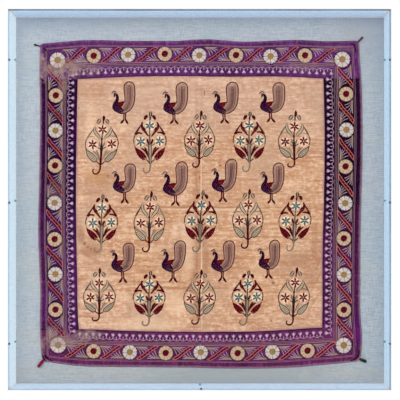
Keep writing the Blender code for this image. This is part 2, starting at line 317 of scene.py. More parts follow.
def add_piece(name, points, faces, material, slot, replaces=(), uv=None, tone=None, flat_shaded=False):
    """One mesh from an array of points and, for each number of corners, an array of faces.
    uv and tone are given per point: a place along and across the stitching, and a share of colour."""
    corners = np.concatenate([f.ravel() for f in faces]).astype(np.int32)
    sizes = np.concatenate([np.full(len(f), f.shape[1]) for f in faces])
    starts = np.concatenate(((0,), np.cumsum(sizes)[:-1])).astype(np.int32)
    mesh = bpy.data.meshes.new(name)
    mesh.vertices.add(len(points))
    mesh.vertices.foreach_set("co", np.ascontiguousarray(points, np.float32).ravel())
    mesh.loops.add(len(corners))
    mesh.polygons.add(len(sizes))
    mesh.polygons.foreach_set("loop_start", starts)
    mesh.polygons.foreach_set("vertices", corners)
    mesh.update(calc_edges=True)
    if uv is not None:
        layer = mesh.uv_layers.new(name="stitch")
        layer.uv.foreach_set("vector", uv[corners].astype(np.float32).ravel())
    if tone is not None:
        layer = mesh.attributes.new("tone", "FLOAT", "POINT")
        layer.data.foreach_set("value", tone.astype(np.float32))
    if mesh.validate():
        raise RuntimeError(f"{name}: its mesh had faults")
    if not flat_shaded:
        mesh.shade_smooth()
    mesh.materials.append(material)
    piece = bpy.data.objects.new(name, mesh)
    bpy.context.scene.collection.objects.link(piece)
    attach(piece, BODY)
    if replaces:
        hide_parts(*replaces)
    return piece


def cloth_sheet(name, u, v, place, material, slot, replaces, inset):
    """A closed sheet: front and back follow the same grid, and a rim joins them. Its tone is the
    distance from its edge in centimetres, by the function given as inset."""
    x, z = place(*np.meshgrid(u, v, indexing="ij"))
    if (x[-1, 0] - x[0, 0]) * (z[0, -1] - z[0, 0]) < 0:
        x, z = x[::-1], z[::-1]
    rows, cols = x.shape
    front = np.stack((x, cloth_front(x, z), z), axis=-1).reshape(-1, 3)
    rear = np.stack((x, -(BOARD_T + JOINT + lift(x, z)), z), axis=-1).reshape(-1, 3)
    index = np.arange(rows * cols).reshape(rows, cols)
    quads = np.stack((index[:-1, :-1], index[1:, :-1], index[1:, 1:], index[:-1, 1:]), axis=-1).reshape(-1, 4)
    rim = np.concatenate((index[:, 0], index[-1, 1:], index[-2::-1, -1], index[0, -2:0:-1]))
    after = np.roll(rim, -1)
    far = rows * cols
    edge = np.stack((rim, rim + far, after + far, after), axis=-1)
    faces = [np.concatenate((quads, quads[:, ::-1] + far, edge))]
    tone = np.tile(inset(x, z).ravel() / CM, 2)
    return add_piece(name, np.concatenate((front, rear)), faces, material, slot, replaces, tone=tone)


def distance(path):
    """How far along a path each of its points lies."""
    return np.concatenate(((0.0,), np.cumsum(np.hypot(*np.diff(path, axis=0).T))))


def beside(path):
    """At each point of a path, a step of length one to its left."""
    tangent = np.gradient(path, axis=0)
    tangent /= np.maximum(np.hypot(*tangent.T), NO_LENGTH)[:, None]
    return np.stack((-tangent[:, 1], tangent[:, 0]), axis=1)


def even(values, share):
    """Values that stand evenly along a line, read at some shares of it. One value is the same all along."""
    values = np.atleast_1d(values)
    return np.interp(share, np.linspace(0, 1, len(values)), values)


def skin(index):
    """Faces between rings of points. Each row of the index is a ring."""
    after = np.roll(index, -1, axis=1)
    return np.stack((index[:-1], index[1:], after[1:], after[:-1]), axis=-1).reshape(-1, 4)


def polar(centre, radius, turn):
    """x and z round a centre, from a radius and a turn in radians."""
    return np.stack((centre[0] + radius * np.cos(turn), centre[1] + radius * np.sin(turn)), axis=-1)


class Stitching:
    """Gathers the rows of stitching that share a thread, and makes one piece of them."""

    def __init__(self):
        self.places, self.heights, self.uvs, self.tones, self.quads, self.caps = [], [], [], [], [], []
        self.count = 0

    def row(self, path, width, tone=0.5, height=1.0, stitch=STITCH, ends=END_WIDTH):
        """One row of chain stitch. A ribbed profile is carried along the path; each stitch starts
        narrow and low, fills out, and eases off towards the next. At its ends the row is drawn in to
        the given share of its width."""
        run = distance(path)
        count = max(2, int(round(run[-1] / stitch * len(BEATS))))
        at = np.linspace(0, run[-1], count + 1)
        centre = np.stack([np.interp(at, run, line) for line in path.T], axis=1)
        width, tone = even(width, at / run[-1]), even(tone, at / run[-1])
        beat = (np.arange(count + 1) + len(self.places)) % len(BEATS)
        half = width / 2 * BEATS[beat]
        half[[0, -1]] *= ends
        tall = height * ROW_H * BEAT_HEIGHTS[beat] * np.clip(width / ROW_W, *ROW_TALL)
        tall[[0, -1]] *= END_HEIGHT
        ribs = len(RIB_ACROSS)
        place = centre[:, None] + beside(centre)[:, None] * half[:, None, None] * RIB_ACROSS[:, None]
        along = np.repeat(at[:, None] / stitch + beat[0] / len(BEATS), ribs, axis=1)
        across = np.repeat(RIB_ACROSS[None, :], count + 1, axis=0)
        index = self.count + np.arange(ribs * (count + 1)).reshape(-1, ribs)
        self.places.append(place.reshape(-1, 2))
        self.heights.append((tall[:, None] * RIB_UP - ROW_SINK).ravel())
        self.uvs.append(np.stack((along, across), axis=-1).reshape(-1, 2))
        self.tones.append(np.repeat(tone, ribs))
        self.quads.append(skin(index))
        self.caps.append(np.stack((index[0], index[-1, ::-1])))
        self.count += index.size

    def fill(self, side_a, side_b, rows, tone=0.5, spread=0.12, height=1.0):
        """Rows that lie side by side between two lines. Row n follows the even blend of the lines."""
        width = np.maximum(np.hypot(*(side_b - side_a).T) / rows * OVERLAP, LEAST_ROW_W)
        for n, shade in enumerate(np.broadcast_to(tone, (rows,))):
            path = side_a + (side_b - side_a) * (n + 0.5) / rows
            self.row(path, width, shade + rng.uniform(-spread, spread), height)

    def stroke(self, path, widths, rows, tone=0.5, spread=0.1, height=1.0):
        """A line some rows wide: a fill between the path moved half its width to either side."""
        width = even(widths, np.linspace(0, 1, len(path))) * MM
        aside = beside(path) * width[:, None] / 2
        self.fill(path - aside, path + aside, rows, tone, spread, height)

    def make(self, name, material, slot):
        """The piece: each point stands its own height off the cloth below it."""
        place = np.concatenate(self.places)
        depth = cloth_front(*place.T) - np.concatenate(self.heights)
        points = np.stack((place[:, 0], depth, place[:, 1]), axis=-1)
        uv, tone = np.concatenate(self.uvs), np.concatenate(self.tones)
        faces = [np.concatenate(self.quads), np.concatenate(self.caps)]
        return add_piece(name, points, faces, material, slot, uv=uv, tone=tone)


def flow(points, count=24):
    """A smooth line through charted points, even by the distance between them."""
    points = np.asarray(points, float)
    run = distance(points)
    return through(run, points, np.linspace(0, run[-1], count))


def ring_path(centre, radius, count, start=0.0, sweep=1.0):
    """An arc round a centre: turns are shares of a full circle."""
    return polar(centre, radius, 2 * math.pi * (start + sweep * np.linspace(0, 1, count)))


def spoke(centre, angle, inner, outer, count=6):
    """A straight line out from a centre."""
    way = np.array((math.cos(angle), math.sin(angle)))
    return centre + way * np.linspace(inner, outer, count)[:, None]


def lens(path, widest):
    """The two sides of a pointed leaf: the path moved aside by half a sine wave of its length."""
    bulge = widest * MM / 2 * (0.12 + 0.88 * np.sin(math.pi * np.linspace(0, 1, len(path))) ** 0.7)
    aside = beside(path) * bulge[:, None]
    return path - aside, path + aside


def motif_chart(box, bend, drift):
    """Places a chart drawn in hundredths of its width and height. The bend is the maker's hand: a slow
    sideways sway of the motif from foot to top. The drift, in mm, moves its middle aside and up while
    its foot and top stay, and leans it to the right."""
    x, z, width, height = (value * MM for value in box)

    def put(points, count=24):
        u, v = flow(points, count).T / 100
        sway = bend[0] * np.sin(math.pi * v + bend[1]) + bend[2] * (v - 0.5)
        swell = np.sin(math.pi * np.clip(v, 0, 1)) ** 0.7
        aside = (drift[0] * swell + drift[2] * (v - 0.5)) * MM
        up = drift[1] * swell * MM
        return np.stack((x + (u - 0.5 + sway) * width + aside, z + (v - 0.5) * height + up), axis=1)

    return put


def spot(put, place):
    """Where one charted point lies on the cloth."""
    return put((place, (place[0], place[1] + 0.01)), 2)[0]


def sew_chart(rows, put, table):
    """Sews the lines of a chart. Columns: group of rows, lines, points along each line, widths along it in
    mm, rows side by side, tone, spread of the tone, height. One width is a pointed leaf's widest, and
    None stands for lines that are pairs of sides, with the rows between them."""
    for group, lines, points, widths, count, *rest in table:
        for line in lines:
            if widths is None:
                rows[group].fill(put(line[0], points), put(line[1], points), count, *rest)
            elif np.isscalar(widths):
                rows[group].fill(*lens(put(line, points), widths), count, *rest)
            else:
                rows[group].stroke(put(line, points), widths, count, *rest)


# Finishes


class Finish:
    """A procedural material in the making. Each method adds its nodes and gives back their output."""

    FAR = 1000.0

    def __init__(self, name, roughness=0.6, specular=0.3, metallic=0.0, alpha=1.0, sheen=0.0):
        self.material = bpy.data.materials.new(name)
        self.material.use_nodes = True
        self.tree = self.material.node_tree
        self.shader = self.tree.nodes["Principled BSDF"]
        values = (
            ("Roughness", roughness), ("Specular IOR Level", specular), ("Metallic", metallic),
            ("Alpha", alpha), ("Sheen Weight", sheen),
        )
        for socket, value in values:
            self.shader.inputs[socket].default_value = value
        self.place = self.add("TexCoord", "Object")

    def add(self, kind, out=0, feeds=(), **settings):
        node = self.tree.nodes.new("ShaderNode" + kind)
        for key, value in settings.items():
            setattr(node, key, value)
        for key, value in dict(feeds).items():
            self.feed(node.inputs[key], value)
        return node.outputs[out]

    def feed(self, socket, value):
        if isinstance(value, bpy.types.NodeSocket):
            self.tree.links.new(value, socket)
        elif socket.type == "RGBA":
            socket.default_value = (*value, 1.0)
        else:
            socket.default_value = value

    def maths(self, operation, a, b=0.0, c=0.0, clamp=False):
        return self.add("Math", 0, {0: a, 1: b, 2: c}, operation=operation, use_clamp=clamp)

    def times(self, a, b):
        return self.maths("MULTIPLY", a, b)

    def mix(self, share, a, b, blend="MIX"):
        return self.add("Mix", 2, {0: share, 6: a, 7: b}, data_type="RGBA", blend_type=blend)

    def noise(self, scale, detail=2.0, rough=0.5, distort=0.0, turn=0.0):
        """Soft noise, finer along each axis by its scale. One number is the scale of all three."""
        feeds = {"Vector": self.place, "Rotation": (0.0, turn, 0.0)}
        feeds["Scale"] = (scale,) * 3 if np.isscalar(scale) else scale
        feeds = {"Vector": self.add("Mapping", 0, feeds), "Scale": 1.0, "Detail": detail}
        feeds |= {"Roughness": rough, "Distortion": distort}
        return self.add("TexNoise", 0, feeds)

    def ease(self, value, low, high, start=0.0, end=1.0):
        feeds = {"Value": value, "From Min": low, "From Max": high, "To Min": start, "To Max": end}
        return self.add("MapRange", 0, feeds, interpolation_type="SMOOTHSTEP")

    def split(self, axis):
        return self.add("SeparateXYZ", axis, {0: self.place})

    def tone(self):
        """What the mesh carries at each point: a row's share of colour, or the distance from an edge."""
        return self.add("Attribute", "Fac", attribute_name="tone", attribute_type="GEOMETRY")

    def patch(self, box, soft=0.5, ragged=0.0, turn=0.0, grain=60):
        """1 inside an oval on the cloth and 0 outside it. Noise makes its rim ragged. The box holds x, z,
        half width and half height in mm."""
        x, z, half_w, half_h = (value * MM for value in box)
        feeds = {"Vector": self.place, "Location": (x, 0.0, z), "Rotation": (0.0, turn, 0.0)}
        feeds["Scale"] = (half_w, self.FAR, half_h)
        moved = self.add("Mapping", 0, feeds, vector_type="TEXTURE")
        away = self.add("VectorMath", "Value", {0: moved}, operation="LENGTH")
        if ragged:
            rag = self.maths("SUBTRACT", self.noise(grain, 4.0, 0.65), 0.5)
            away = self.maths("ADD", away, self.times(rag, ragged))
        return self.ease(away, 1.0 + soft / 2, 1.0 - soft / 2)

    def lay(self, base, rgb, share, part=None):
        """A given colour laid over the base by a share, or by a part of that share."""
        if part is not None:
            share = self.times(share, part)
        return self.mix(share, base, shaded(tint(*rgb)))

    def tinge(self, base, table):
        """Given colours over the base, one after the other. Columns: value, where it starts to count and
        where it counts in full, share of the colour there, colour."""
        for value, low, high, full, rgb in table:
            base = self.lay(base, rgb, self.ease(value, low, high, 0.0, full))
        return base

    def bump(self, height, strength, distance):
        feeds = {"Height": height, "Strength": strength, "Distance": distance}
        self.feed(self.shader.inputs["Normal"], self.add("Bump", 0, feeds))

    def colour(self, value):
        self.feed(self.shader.inputs["Base Color"], value)
        return self.material


def dimmed(colour, share):
    return tuple(share * channel for channel in colour)


def shaded(colour):
    """A given colour as the finish needs it under the studio light."""
    return dimmed(colour, SHADE)


def give(node, material):
    """Puts a finish on a mesh of the part."""
    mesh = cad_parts[node].data
    mesh.materials.clear()
    mesh.materials.append(material)


# Rubbed places of the border. Columns: x, z, half width, half height in mm, strength.
WORN = (
    (-380, 322, 9, 28, 0.9), (-346, 316, 26, 16, 0.8), (-306, 322, 34, 20, 0.85), (-264, 316, 24, 12, 0.55),
    (-318, -338, 40, 14, 0.75), (-358, -326, 14, 22, 0.6), (-276, -326, 36, 12, 0.6),
    (-380, -351, 8, 20, 0.6), (-332, 284, 12, 24, 0.5), (-353, -343, 15, 13, 0.9), (250, 322, 40, 10, 0.3),
    (330, 366, 40, 8, 0.25), (-352, 20, 20, 26, 0.25),
)


def worn_share(finish):
    """Where the border's silk is rubbed and bleached, as one share from 0 to 1."""
    share = 0.0
    for *box, strength in WORN:
        rubbed = finish.times(finish.patch(box, 0.6, 2.6, grain=110), strength)
        share = finish.maths("MAXIMUM", share, rubbed)
    return share


# Stains on the field. Columns: x, z, half width, half height in mm, red, green, blue, strength.
# The broad brown rows at (-287, -86) and (-262, -122) are painted shade along the crease beside the left
# seam.
STAINS = (
    (11, 259.6, 1.3, 5, 140, 62, 40, 0.75), (-1, 56, 2.2, 6, 176, 84, 44, 0.75),
    (49, 84.6, 4.4, 2, 150, 72, 44, 0.7), (-222.6, 59.3, 3.4, 2.8, 80, 46, 34, 0.8),
    (-278.5, -104, 3.2, 4.4, 118, 70, 46, 0.65), (-271, -112, 4.6, 2.8, 126, 78, 52, 0.6),
    (-263, -117, 2.6, 3.2, 118, 70, 46, 0.6), (-287, -86, 9, 18, 158, 102, 72, 0.55),
    (-262, -122, 26, 12, 172, 116, 82, 0.4), (-286, 268, 12, 22, 190, 146, 116, 0.5),
    (176.7, -199, 3.4, 3.4, 104, 60, 44, 0.75), (-222, 52, 24, 14, 180, 132, 92, 0.4),
    (-252, 63, 25, 16, 196, 142, 92, 0.5), (-150, -120, 5, 3, 150, 110, 74, 0.6),
    (118, 188, 4, 3, 150, 105, 74, 0.5), (238, 12, 4, 5, 140, 96, 66, 0.5),
    (172, -290.6, 2, 2.4, 96, 70, 44, 0.7), (-292, 223, 2.2, 2, 120, 80, 56, 0.7),
    (-209, 85, 2.6, 1.6, 140, 90, 62, 0.6), (150.9, -215.4, 3, 2.4, 228, 142, 92, 0.7),
    (87.9, -247.5, 3, 3.4, 232, 150, 96, 0.6), (29.9, -213, 3, 2, 228, 142, 92, 0.6),
    (6.4, -236, 2.4, 4, 232, 142, 92, 0.6), (132.4, -1.8, 2, 4, 226, 134, 84, 0.7),
    (-5, 0, 8, 3, 232, 150, 96, 0.5), (-6, -22, 3, 5, 232, 146, 92, 0.6),
)

# Painted shade and painted light beside the folds of the field. Columns: x, z, half width, half height in mm,
# and the strength: above zero for painted shade, below zero for painted light.
PAINTED_FOLD_SHADING = (
    (-12, -200, 12, 96, 0.6), (-8, 60, 8, 150, 0.45), (4, -190, 1.8, 100, -0.9), (3, 30, 1.6, 110, -0.6),
    (13, -130, 8, 60, 0.5), (-40, -212, 110, 3.2, 0.65), (-150, -196, 60, 2.6, 0.45),
    (-40, -17, 230, 2.2, 0.7), (60, -22, 120, 3.0, -0.55), (160, -88, 60, 2.4, 0.65),
    (-84, -150, 26, 36, 0.15), (-140, -298, 90, 17, -0.4), (60, -150, 38, 32, 0.4),
    (-60, -250, 28, 26, -0.5), (278, -110, 9, 60, 0.5), (262, -180, 14, 34, 0.45),
    (-240, -190, 26, 10, -0.45), (-268, -60, 14, 20, -0.4), (224, -143, 32, 20, 0.4),
    (-256, 42, 34, 24, 0.3), (-262, -120, 20, 30, 0.35), (-264, 160, 12, 70, -0.4),
    (-30, -120, 16, 60, -0.4), (150, -160, 34, 14, -0.3), (-258, 266, 30, 18, 0.3),
)

# Share of the painted shade along a crease, for each mm of its height
CREASE_PAINTED_SHADE = 0.48


# Settings


def colour_setting(name, description, *rgb):
    return FloatVectorProperty(
        name=name, description=description, subtype="COLOR", min=0, max=1, default=tint(*rgb)
    )


def cell_setting(name, description, default):
    return FloatProperty(
        name=name, description=description, subtype="DISTANCE", unit="LENGTH", min=0.002, max=0.02,
        default=default,
    )


def light_setting(name, description, default, most=400, **unit):
    return FloatProperty(name=name, description=description, min=0, max=most, default=default, **unit)


def thread_colour(name, *rgb):
    return colour_setting(name, f"Colour of the {name.lower()}", *rgb)


class CaseFinish(bpy.types.PropertyGroup):
    """Finish of the clear case, its board and its screws."""

    front: colour_setting("Front sheet", "Tint of the clear front sheet", 60, 70, 84)
    front_alpha: FloatProperty(
        name="Front sheet cover", description="How much of the light the front sheet takes", subtype="FACTOR",
        min=0, max=1, default=0.012,
    )
    # The four walls are one clear sheet. Their tints differ by side as painted light and painted shade: each
    # wall is tinted as it is lit from its own side.
    left: colour_setting("Left wall", "Tint of the left wall", 120, 222, 255)
    right: colour_setting("Right wall", "Tint of the right wall", 60, 205, 255)
    top: colour_setting("Top wall", "Tint of the top wall", 95, 204, 255)
    bottom: colour_setting("Bottom wall", "Tint of the bottom wall", 108, 200, 255)
    # Painted shade and painted light of the joint: its dark colour along the top, its light colour along the
    # left side.
    edge: colour_setting(
        "Dark joint", "Colour of the joint along the top, seen through the front sheet", 62, 84, 122
    )
    edge_light: colour_setting("Light joint", "Colour of the joint along the left side", 206, 233, 255)
    linen: colour_setting("Linen", "Main colour of the linen", 191, 200, 208)
    linen_dark: colour_setting("Linen's hollows", "Colour between the linen's threads", 154, 164, 175)
    steel: colour_setting("Screws", "Colour of the screws", 176, 180, 186)


class ClothFinish(bpy.types.PropertyGroup):
    """Size and colours of the silk."""

    cell: cell_setting("Cell", "Size of the field's mesh cells", 0.0036)
    strip_cell: cell_setting("Border cell", "Size of the border's mesh cells", 0.0042)
    peach: colour_setting("Peach silk", "Main colour of the field", 214, 168, 139)
    peach_deep: colour_setting("Deep peach", "Colour of the field where it is less faded", 201, 147, 106)
    level: colour_setting("Purple, top", "Silk of the top border", 92, 40, 98)
    level_low: colour_setting("Purple, bottom", "Silk of the bottom border", 98, 36, 86)
    upright: colour_setting("Purple, left", "Silk of the left border", 46, 2, 54)
    upright_low: colour_setting("Purple, lower left", "Silk of the left border's lower half", 78, 26, 84)
    upright_right: colour_setting("Purple, right", "Silk of the right border", 34, 0, 34)
    upright_right_low: colour_setting(
        "Purple, lower right", "Silk of the right border's lower half", 78, 22, 72
    )
    rubbed: colour_setting("Rubbed silk", "Colour of the border where it is worn", 166, 136, 126)


class ThreadColours(bpy.types.PropertyGroup):
    """Colours of the stitching threads."""

    night: thread_colour("Night purple thread", 34, 2, 32)
    violet: thread_colour("Violet light of the birds", 62, 8, 58)
    maroon: thread_colour("Maroon thread", 104, 4, 22)
    wing: thread_colour("Crimson wing thread", 122, 12, 34)
    wine: thread_colour("Dark wine thread", 66, 2, 14)
    clot: thread_colour("Dark dash thread", 36, 0, 8)
    umber: thread_colour("Brown outline thread", 98, 44, 54)
    train: thread_colour("Beige train thread", 188, 146, 126)
    mauve: thread_colour("Mauve train thread", 84, 48, 50)
    reed: thread_colour("Grey-green thread", 194, 174, 148)
    moss: thread_colour("Dark green-brown thread", 62, 44, 46)
    slate: thread_colour("Blue-grey star thread", 64, 108, 118)
    cream: thread_colour("Cream flower thread", 255, 236, 200)
    blush: thread_colour("Blush flower thread", 250, 208, 184)
    white: thread_colour("White daisy thread", 224, 213, 203)
    # Painted shadow between the daisies' petals, sewn as grey rows.
    shell: thread_colour("Grey daisy shadow", 158, 140, 144)
    disc: thread_colour("Cream disc thread", 218, 188, 156)
    gold: thread_colour("Gold heart thread", 170, 132, 76)
    olive: thread_colour("Olive heart rim", 116, 96, 52)
    salmon: thread_colour("Salmon band thread", 244, 138, 116)
    rust: thread_colour("Rust band thread", 150, 38, 48)
    tan: thread_colour("Tan fan thread", 150, 126, 98)
    lilac: thread_colour("Lilac thread", 216, 188, 208)
    pearl: thread_colour("Pearl fan thread", 204, 180, 186)
    dusk: thread_colour("Muted pink line thread", 150, 110, 126)
    ink: thread_colour("Dark purple line thread", 28, 2, 34)


class StudioLight(bpy.types.PropertyGroup):
    """Light of the stage."""

    surround: light_setting("Surroundings", "Strength of the white surroundings", 1.0, 4)
    key: light_setting("Key light", "Power of the soft light at the upper left", 34.0, unit="POWER")
    fill: light_setting("Fill light", "Power of the weaker light at the right", 10.0, unit="POWER")


# Operators


class PanelOperator(bpy.types.Operator):
    """Base of the operators: each makes its pieces, and any fault stops the script."""

    bl_options = {"REGISTER", "UNDO"}

    def execute(self, context):
        self.build(context.scene)
        return {"FINISHED"}


class StitchOperator(PanelOperator):
    """Base of the operators that sew. Columns of THREADS: group of rows, two thread colours, slot."""

    RUBBED = False

    def build(self, scene):
        rows = {group: Stitching() for group, *_ in self.THREADS}
        self.sew(rows)
        look = scene.thread_colours
        for group, main, second, slot in self.THREADS:
            name = f"{self.PREFIX}_{group}"
            finish = thread_finish(name, getattr(look, main), getattr(look, second), self.RUBBED)
            rows[group].make(name, finish, slot)


class EMBROIDERED_OT_case(PanelOperator):
    """Finishes the clear sheets of the case"""

    bl_idname = "embroidered.case"
    bl_label = "Clear Case"

    # Columns: wall, how much light it takes, how much painted shade darkens it towards the board. Like the
    # tints, the covers differ by side as painted light.
    WALLS = (("left", 0.25, 0.1), ("right", 0.33, 0.15), ("top", 0.38, 0.75), ("bottom", 0.33, 0.15))
    MITRE = (0.02, 0.03, 0.05)

    # Heights of the screws in the side walls, place of the one below, how their painted reflections fade out,
    # and the colour of these: dark spots of each screw's image carried through the clear wall to the joint.
    DOTS = (0.3296, -0.007, -0.3395)
    BOTTOM_DOT = 0.0038
    DOT_RIM = (0.0034, 0.0016)
    PAINTED_SCREW_REFLECTION = (0.005, 0.006, 0.010)

    def build(self, scene):
        look = scene.case_finish
        front = Finish("clear_front", roughness=0.06, specular=0.5, alpha=look.front_alpha)
        smear = front.ease(front.noise(5, 3.0), 0.35, 0.7)
        give("case_front", front.colour(front.mix(smear, look.front, dimmed(look.front, 0.85))))
        for side, alpha, fall in self.WALLS:
            give(f"case_{side}", self.wall(side, getattr(look, side), alpha, fall))
        self.joint_lines(look)

    def wall(self, side, colour, alpha, fall):
        """Pale blue, with painted shade that darkens it towards the board, darker beside the mitres, with
        faint streaks.
        """
        level = side in ("top", "bottom")
        wall = Finish(f"clear_{side}", roughness=0.08, specular=0.5, alpha=alpha)
        streaks = wall.noise((14, 40, 14) if level else (40, 40, 14), 2.0)
        # Painted shade: each wall darkens towards the board, the top wall most, as if shaded inside the case.
        deep = wall.ease(wall.split("Y"), -0.050, -0.016)
        red, green, blue = colour
        base = wall.mix(wall.times(deep, fall), colour, (0.2 * red, 0.34 * green, 0.6 * blue))
        base = wall.mix(wall.ease(streaks, 0.4, 0.75, 0.0, 0.3), base, (0.4 * red, 0.8 * green, blue))
        corner = (CASE_W if level else CASE_H) / 2 - SHEET_T
        away = wall.maths("ABSOLUTE", wall.split("X" if level else "Z"))
        mitre = wall.ease(away, corner - 0.0016, corner - 0.0004)
        return wall.colour(wall.mix(mitre, base, self.MITRE))

    def joint_lines(self, look):
        """The cemented joint between the walls' edges and the front sheet: a thin flat frame in their gap.
        It holds painted shade by side: dark along the top, lighter at the other sides. The screws show in it
        as painted reflections, dark dots of their image carried through the clear walls."""
        joint = Finish("cement_joint", roughness=0.3, specular=0.3, alpha=0.6)
        x, z = joint.split("X"), joint.split("Z")
        edge_x, edge_z = (CASE_W - SHEET_T) / 2, (CASE_H - SHEET_T) / 2
        # Painted shade by side: full along the top, part at the right, a little at the bottom, none at the
        # left.
        top = joint.ease(z, edge_z - 0.0012, edge_z + 0.0006)
        right = joint.ease(x, edge_x - SHEET_T, edge_x - 0.0015, 0.0, 0.42)
        low = joint.ease(z, -edge_z + SHEET_T, -edge_z + 0.0015, 0.0, 0.15)
        # This noise makes the painted shade patchy.
        worn = joint.ease(joint.noise(9, 3.0), 0.35, 0.7, 0.75, 1.0)
        share = joint.maths("MAXIMUM", joint.maths("MAXIMUM", top, right), low)
        base = joint.mix(joint.times(share, worn), look.edge_light, look.edge)
        side = joint.maths("GREATER_THAN", joint.maths("ABSOLUTE", x), edge_x - SHEET_T)
        under = joint.maths("LESS_THAN", z, -edge_z + SHEET_T)
        # Painted reflections of the screws, as dark spots in the joint.
        dots = [(z, place, side) for place in self.DOTS] + [(x, self.BOTTOM_DOT, under)]
        for axis, place, where in dots:
            away = joint.maths("ABSOLUTE", joint.maths("SUBTRACT", axis, place))
            base = joint.mix(joint.times(joint.ease(away, *self.DOT_RIM), where), base, self.PAINTED_SCREW_REFLECTION)
        half = np.array((CASE_W, CASE_H)) / 2
        film = JOINT / 6
        back = -(CASE_D - SHEET_T)
        cement = self.ring(half, half - SHEET_T, back + film, back + JOINT - film)
        edge = self.ring(half + 4 * film, half + film, -CASE_D, back - film)
        points = np.concatenate((cement[0], edge[0]))
        faces = [np.concatenate((cement[1], edge[1] + len(cement[0])))]
        add_piece("case_joint_lines", points, faces, joint.colour(base), "clear_wall", flat_shaded=True)

    def ring(self, outer, inner, near, far):
        """A flat frame between two rectangles, from one depth to another: four corners for each edge."""
        signs = np.array(((-1, -1), (1, -1), (1, 1), (-1, 1)))
        flat = np.concatenate((signs * outer, signs * inner))
        layers = [np.stack((flat[:, 0], np.full(8, depth), flat[:, 1]), axis=-1) for depth in (near, far)]
        n = np.arange(4)
        after = (n + 1) % 4
        front = np.stack((n, after, after + 4, n + 4), axis=-1)
        outside = np.stack((n, n + 8, after + 8, after), axis=-1)
        inside = np.stack((n + 4, after + 4, after + 12, n + 12), axis=-1)
        return np.concatenate(layers), np.concatenate((front, front[:, ::-1] + 8, outside, inside))


class EMBROIDERED_OT_board(PanelOperator):
    """Wraps the mounting board in slubbed linen"""

    bl_idname = "embroidered.board"
    bl_label = "Linen Board"

    # Width of the linen that is turned over, and depth of the back's own face
    TURNED = 0.042
    BACK = -0.0006

    def build(self, scene):
        look = scene.case_finish
        linen = Finish("linen_weave", roughness=0.9, specular=0.12, sheen=0.15)
        light, dark = shaded(look.linen), shaded(look.linen_dark)
        x, z = linen.split("X"), linen.split("Z")
        weft, warp = (linen.noise(scale, 3.0, 0.6) for scale in ((60, 60, 900), (900, 60, 60)))
        thick = linen.noise((12, 12, 260), 2.0, 0.6)
        slub = linen.noise((30, 60, 500), 4.0, 0.7)
        weave = linen.times(linen.maths("ADD", weft, warp), 0.5)
        base = linen.mix(linen.ease(weave, 0.40, 0.60), dark, light)
        base = linen.mix(linen.ease(thick, 0.58, 0.72, 0.0, 0.35), base, dimmed(light, 1.18))
        base = linen.tinge(base, (
            (linen.noise(7, 2.0), 0.35, 0.7, 0.30, (182, 180, 190)),
            (linen.noise((11, 11, 9), 2.0, turn=0.6), 0.45, 0.7, 0.35, (162, 182, 190)),
            (linen.noise((9, 9, 13), 2.0, turn=1.1), 0.52, 0.70, 0.28, (190, 188, 176)),
            # Painted light: the linen grows lighter and bluer towards its left edge.
            (x, -0.36, -0.43, 0.15, (208, 218, 230)),
        ))
        low = linen.times(linen.ease(z, -0.38, -0.42, 0.0, 0.5), linen.ease(thick, 0.3, 0.6))
        base = linen.lay(base, (188, 182, 164), low)
        base = linen.tinge(base, (
            (slub, 0.50, 0.66, 0.35, (206, 208, 206)), (slub, 0.50, 0.34, 0.35, (146, 158, 170)),
        ))
        # Painted shade near the walls: along the top, more towards the left, in the top right corner and at
        # the middle of the bottom.
        dim = linen.times(linen.ease(z, 0.385, 0.425), linen.ease(x, 0.15, -0.40, 0.25, 1.0))
        base = linen.lay(base, (166, 176, 188), dim, 0.5)
        base = linen.lay(base, (160, 166, 176), linen.patch((430, 430, 100, 120), 1.2), 0.55)
        base = linen.lay(base, (162, 167, 168), linen.patch((70, -425, 200, 45), 1.0), 0.6)
        linen.bump(weave, 0.5, 0.0006)
        give("mounting_board", linen.colour(self.rear(linen, base)))

    def rear(self, linen, base):
        """On the back, the linen is turned over as a strip with mitred corners, and a pale card fills the
        rest. How far a place lies inside the strip is the lesser of its distances to the two sides."""
        half_x, _, half_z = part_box("mounting_board")[1]
        inside = [
            linen.maths("SUBTRACT", half - self.TURNED, linen.maths("ABSOLUTE", linen.split(axis)))
            for axis, half in (("X", half_x), ("Z", half_z))
        ]
        inset = linen.maths("MINIMUM", *inside)
        between = linen.maths("ABSOLUTE", linen.maths("SUBTRACT", *inside))
        mitre = linen.times(linen.ease(between, 0.0016, 0.0006), linen.ease(inset, 0.0, -0.001))
        back = linen.lay(base, (108, 116, 126), mitre, 0.6)
        # A painted shadow line along the card's edge.
        edge = linen.ease(linen.maths("ABSOLUTE", inset), 0.0014, 0.0004, 0.0, 0.55)
        fibre = linen.ease(linen.noise(120, 4.0, 0.7), 0.35, 0.65)
        card = linen.mix(fibre, shaded(tint(214, 206, 190)), shaded(tint(198, 188, 170)))
        back = linen.mix(linen.ease(inset, 0.0, 0.0008), back, card)
        back = linen.lay(back, (112, 110, 108), edge)
        return linen.mix(linen.maths("GREATER_THAN", linen.split("Y"), self.BACK), base, back)


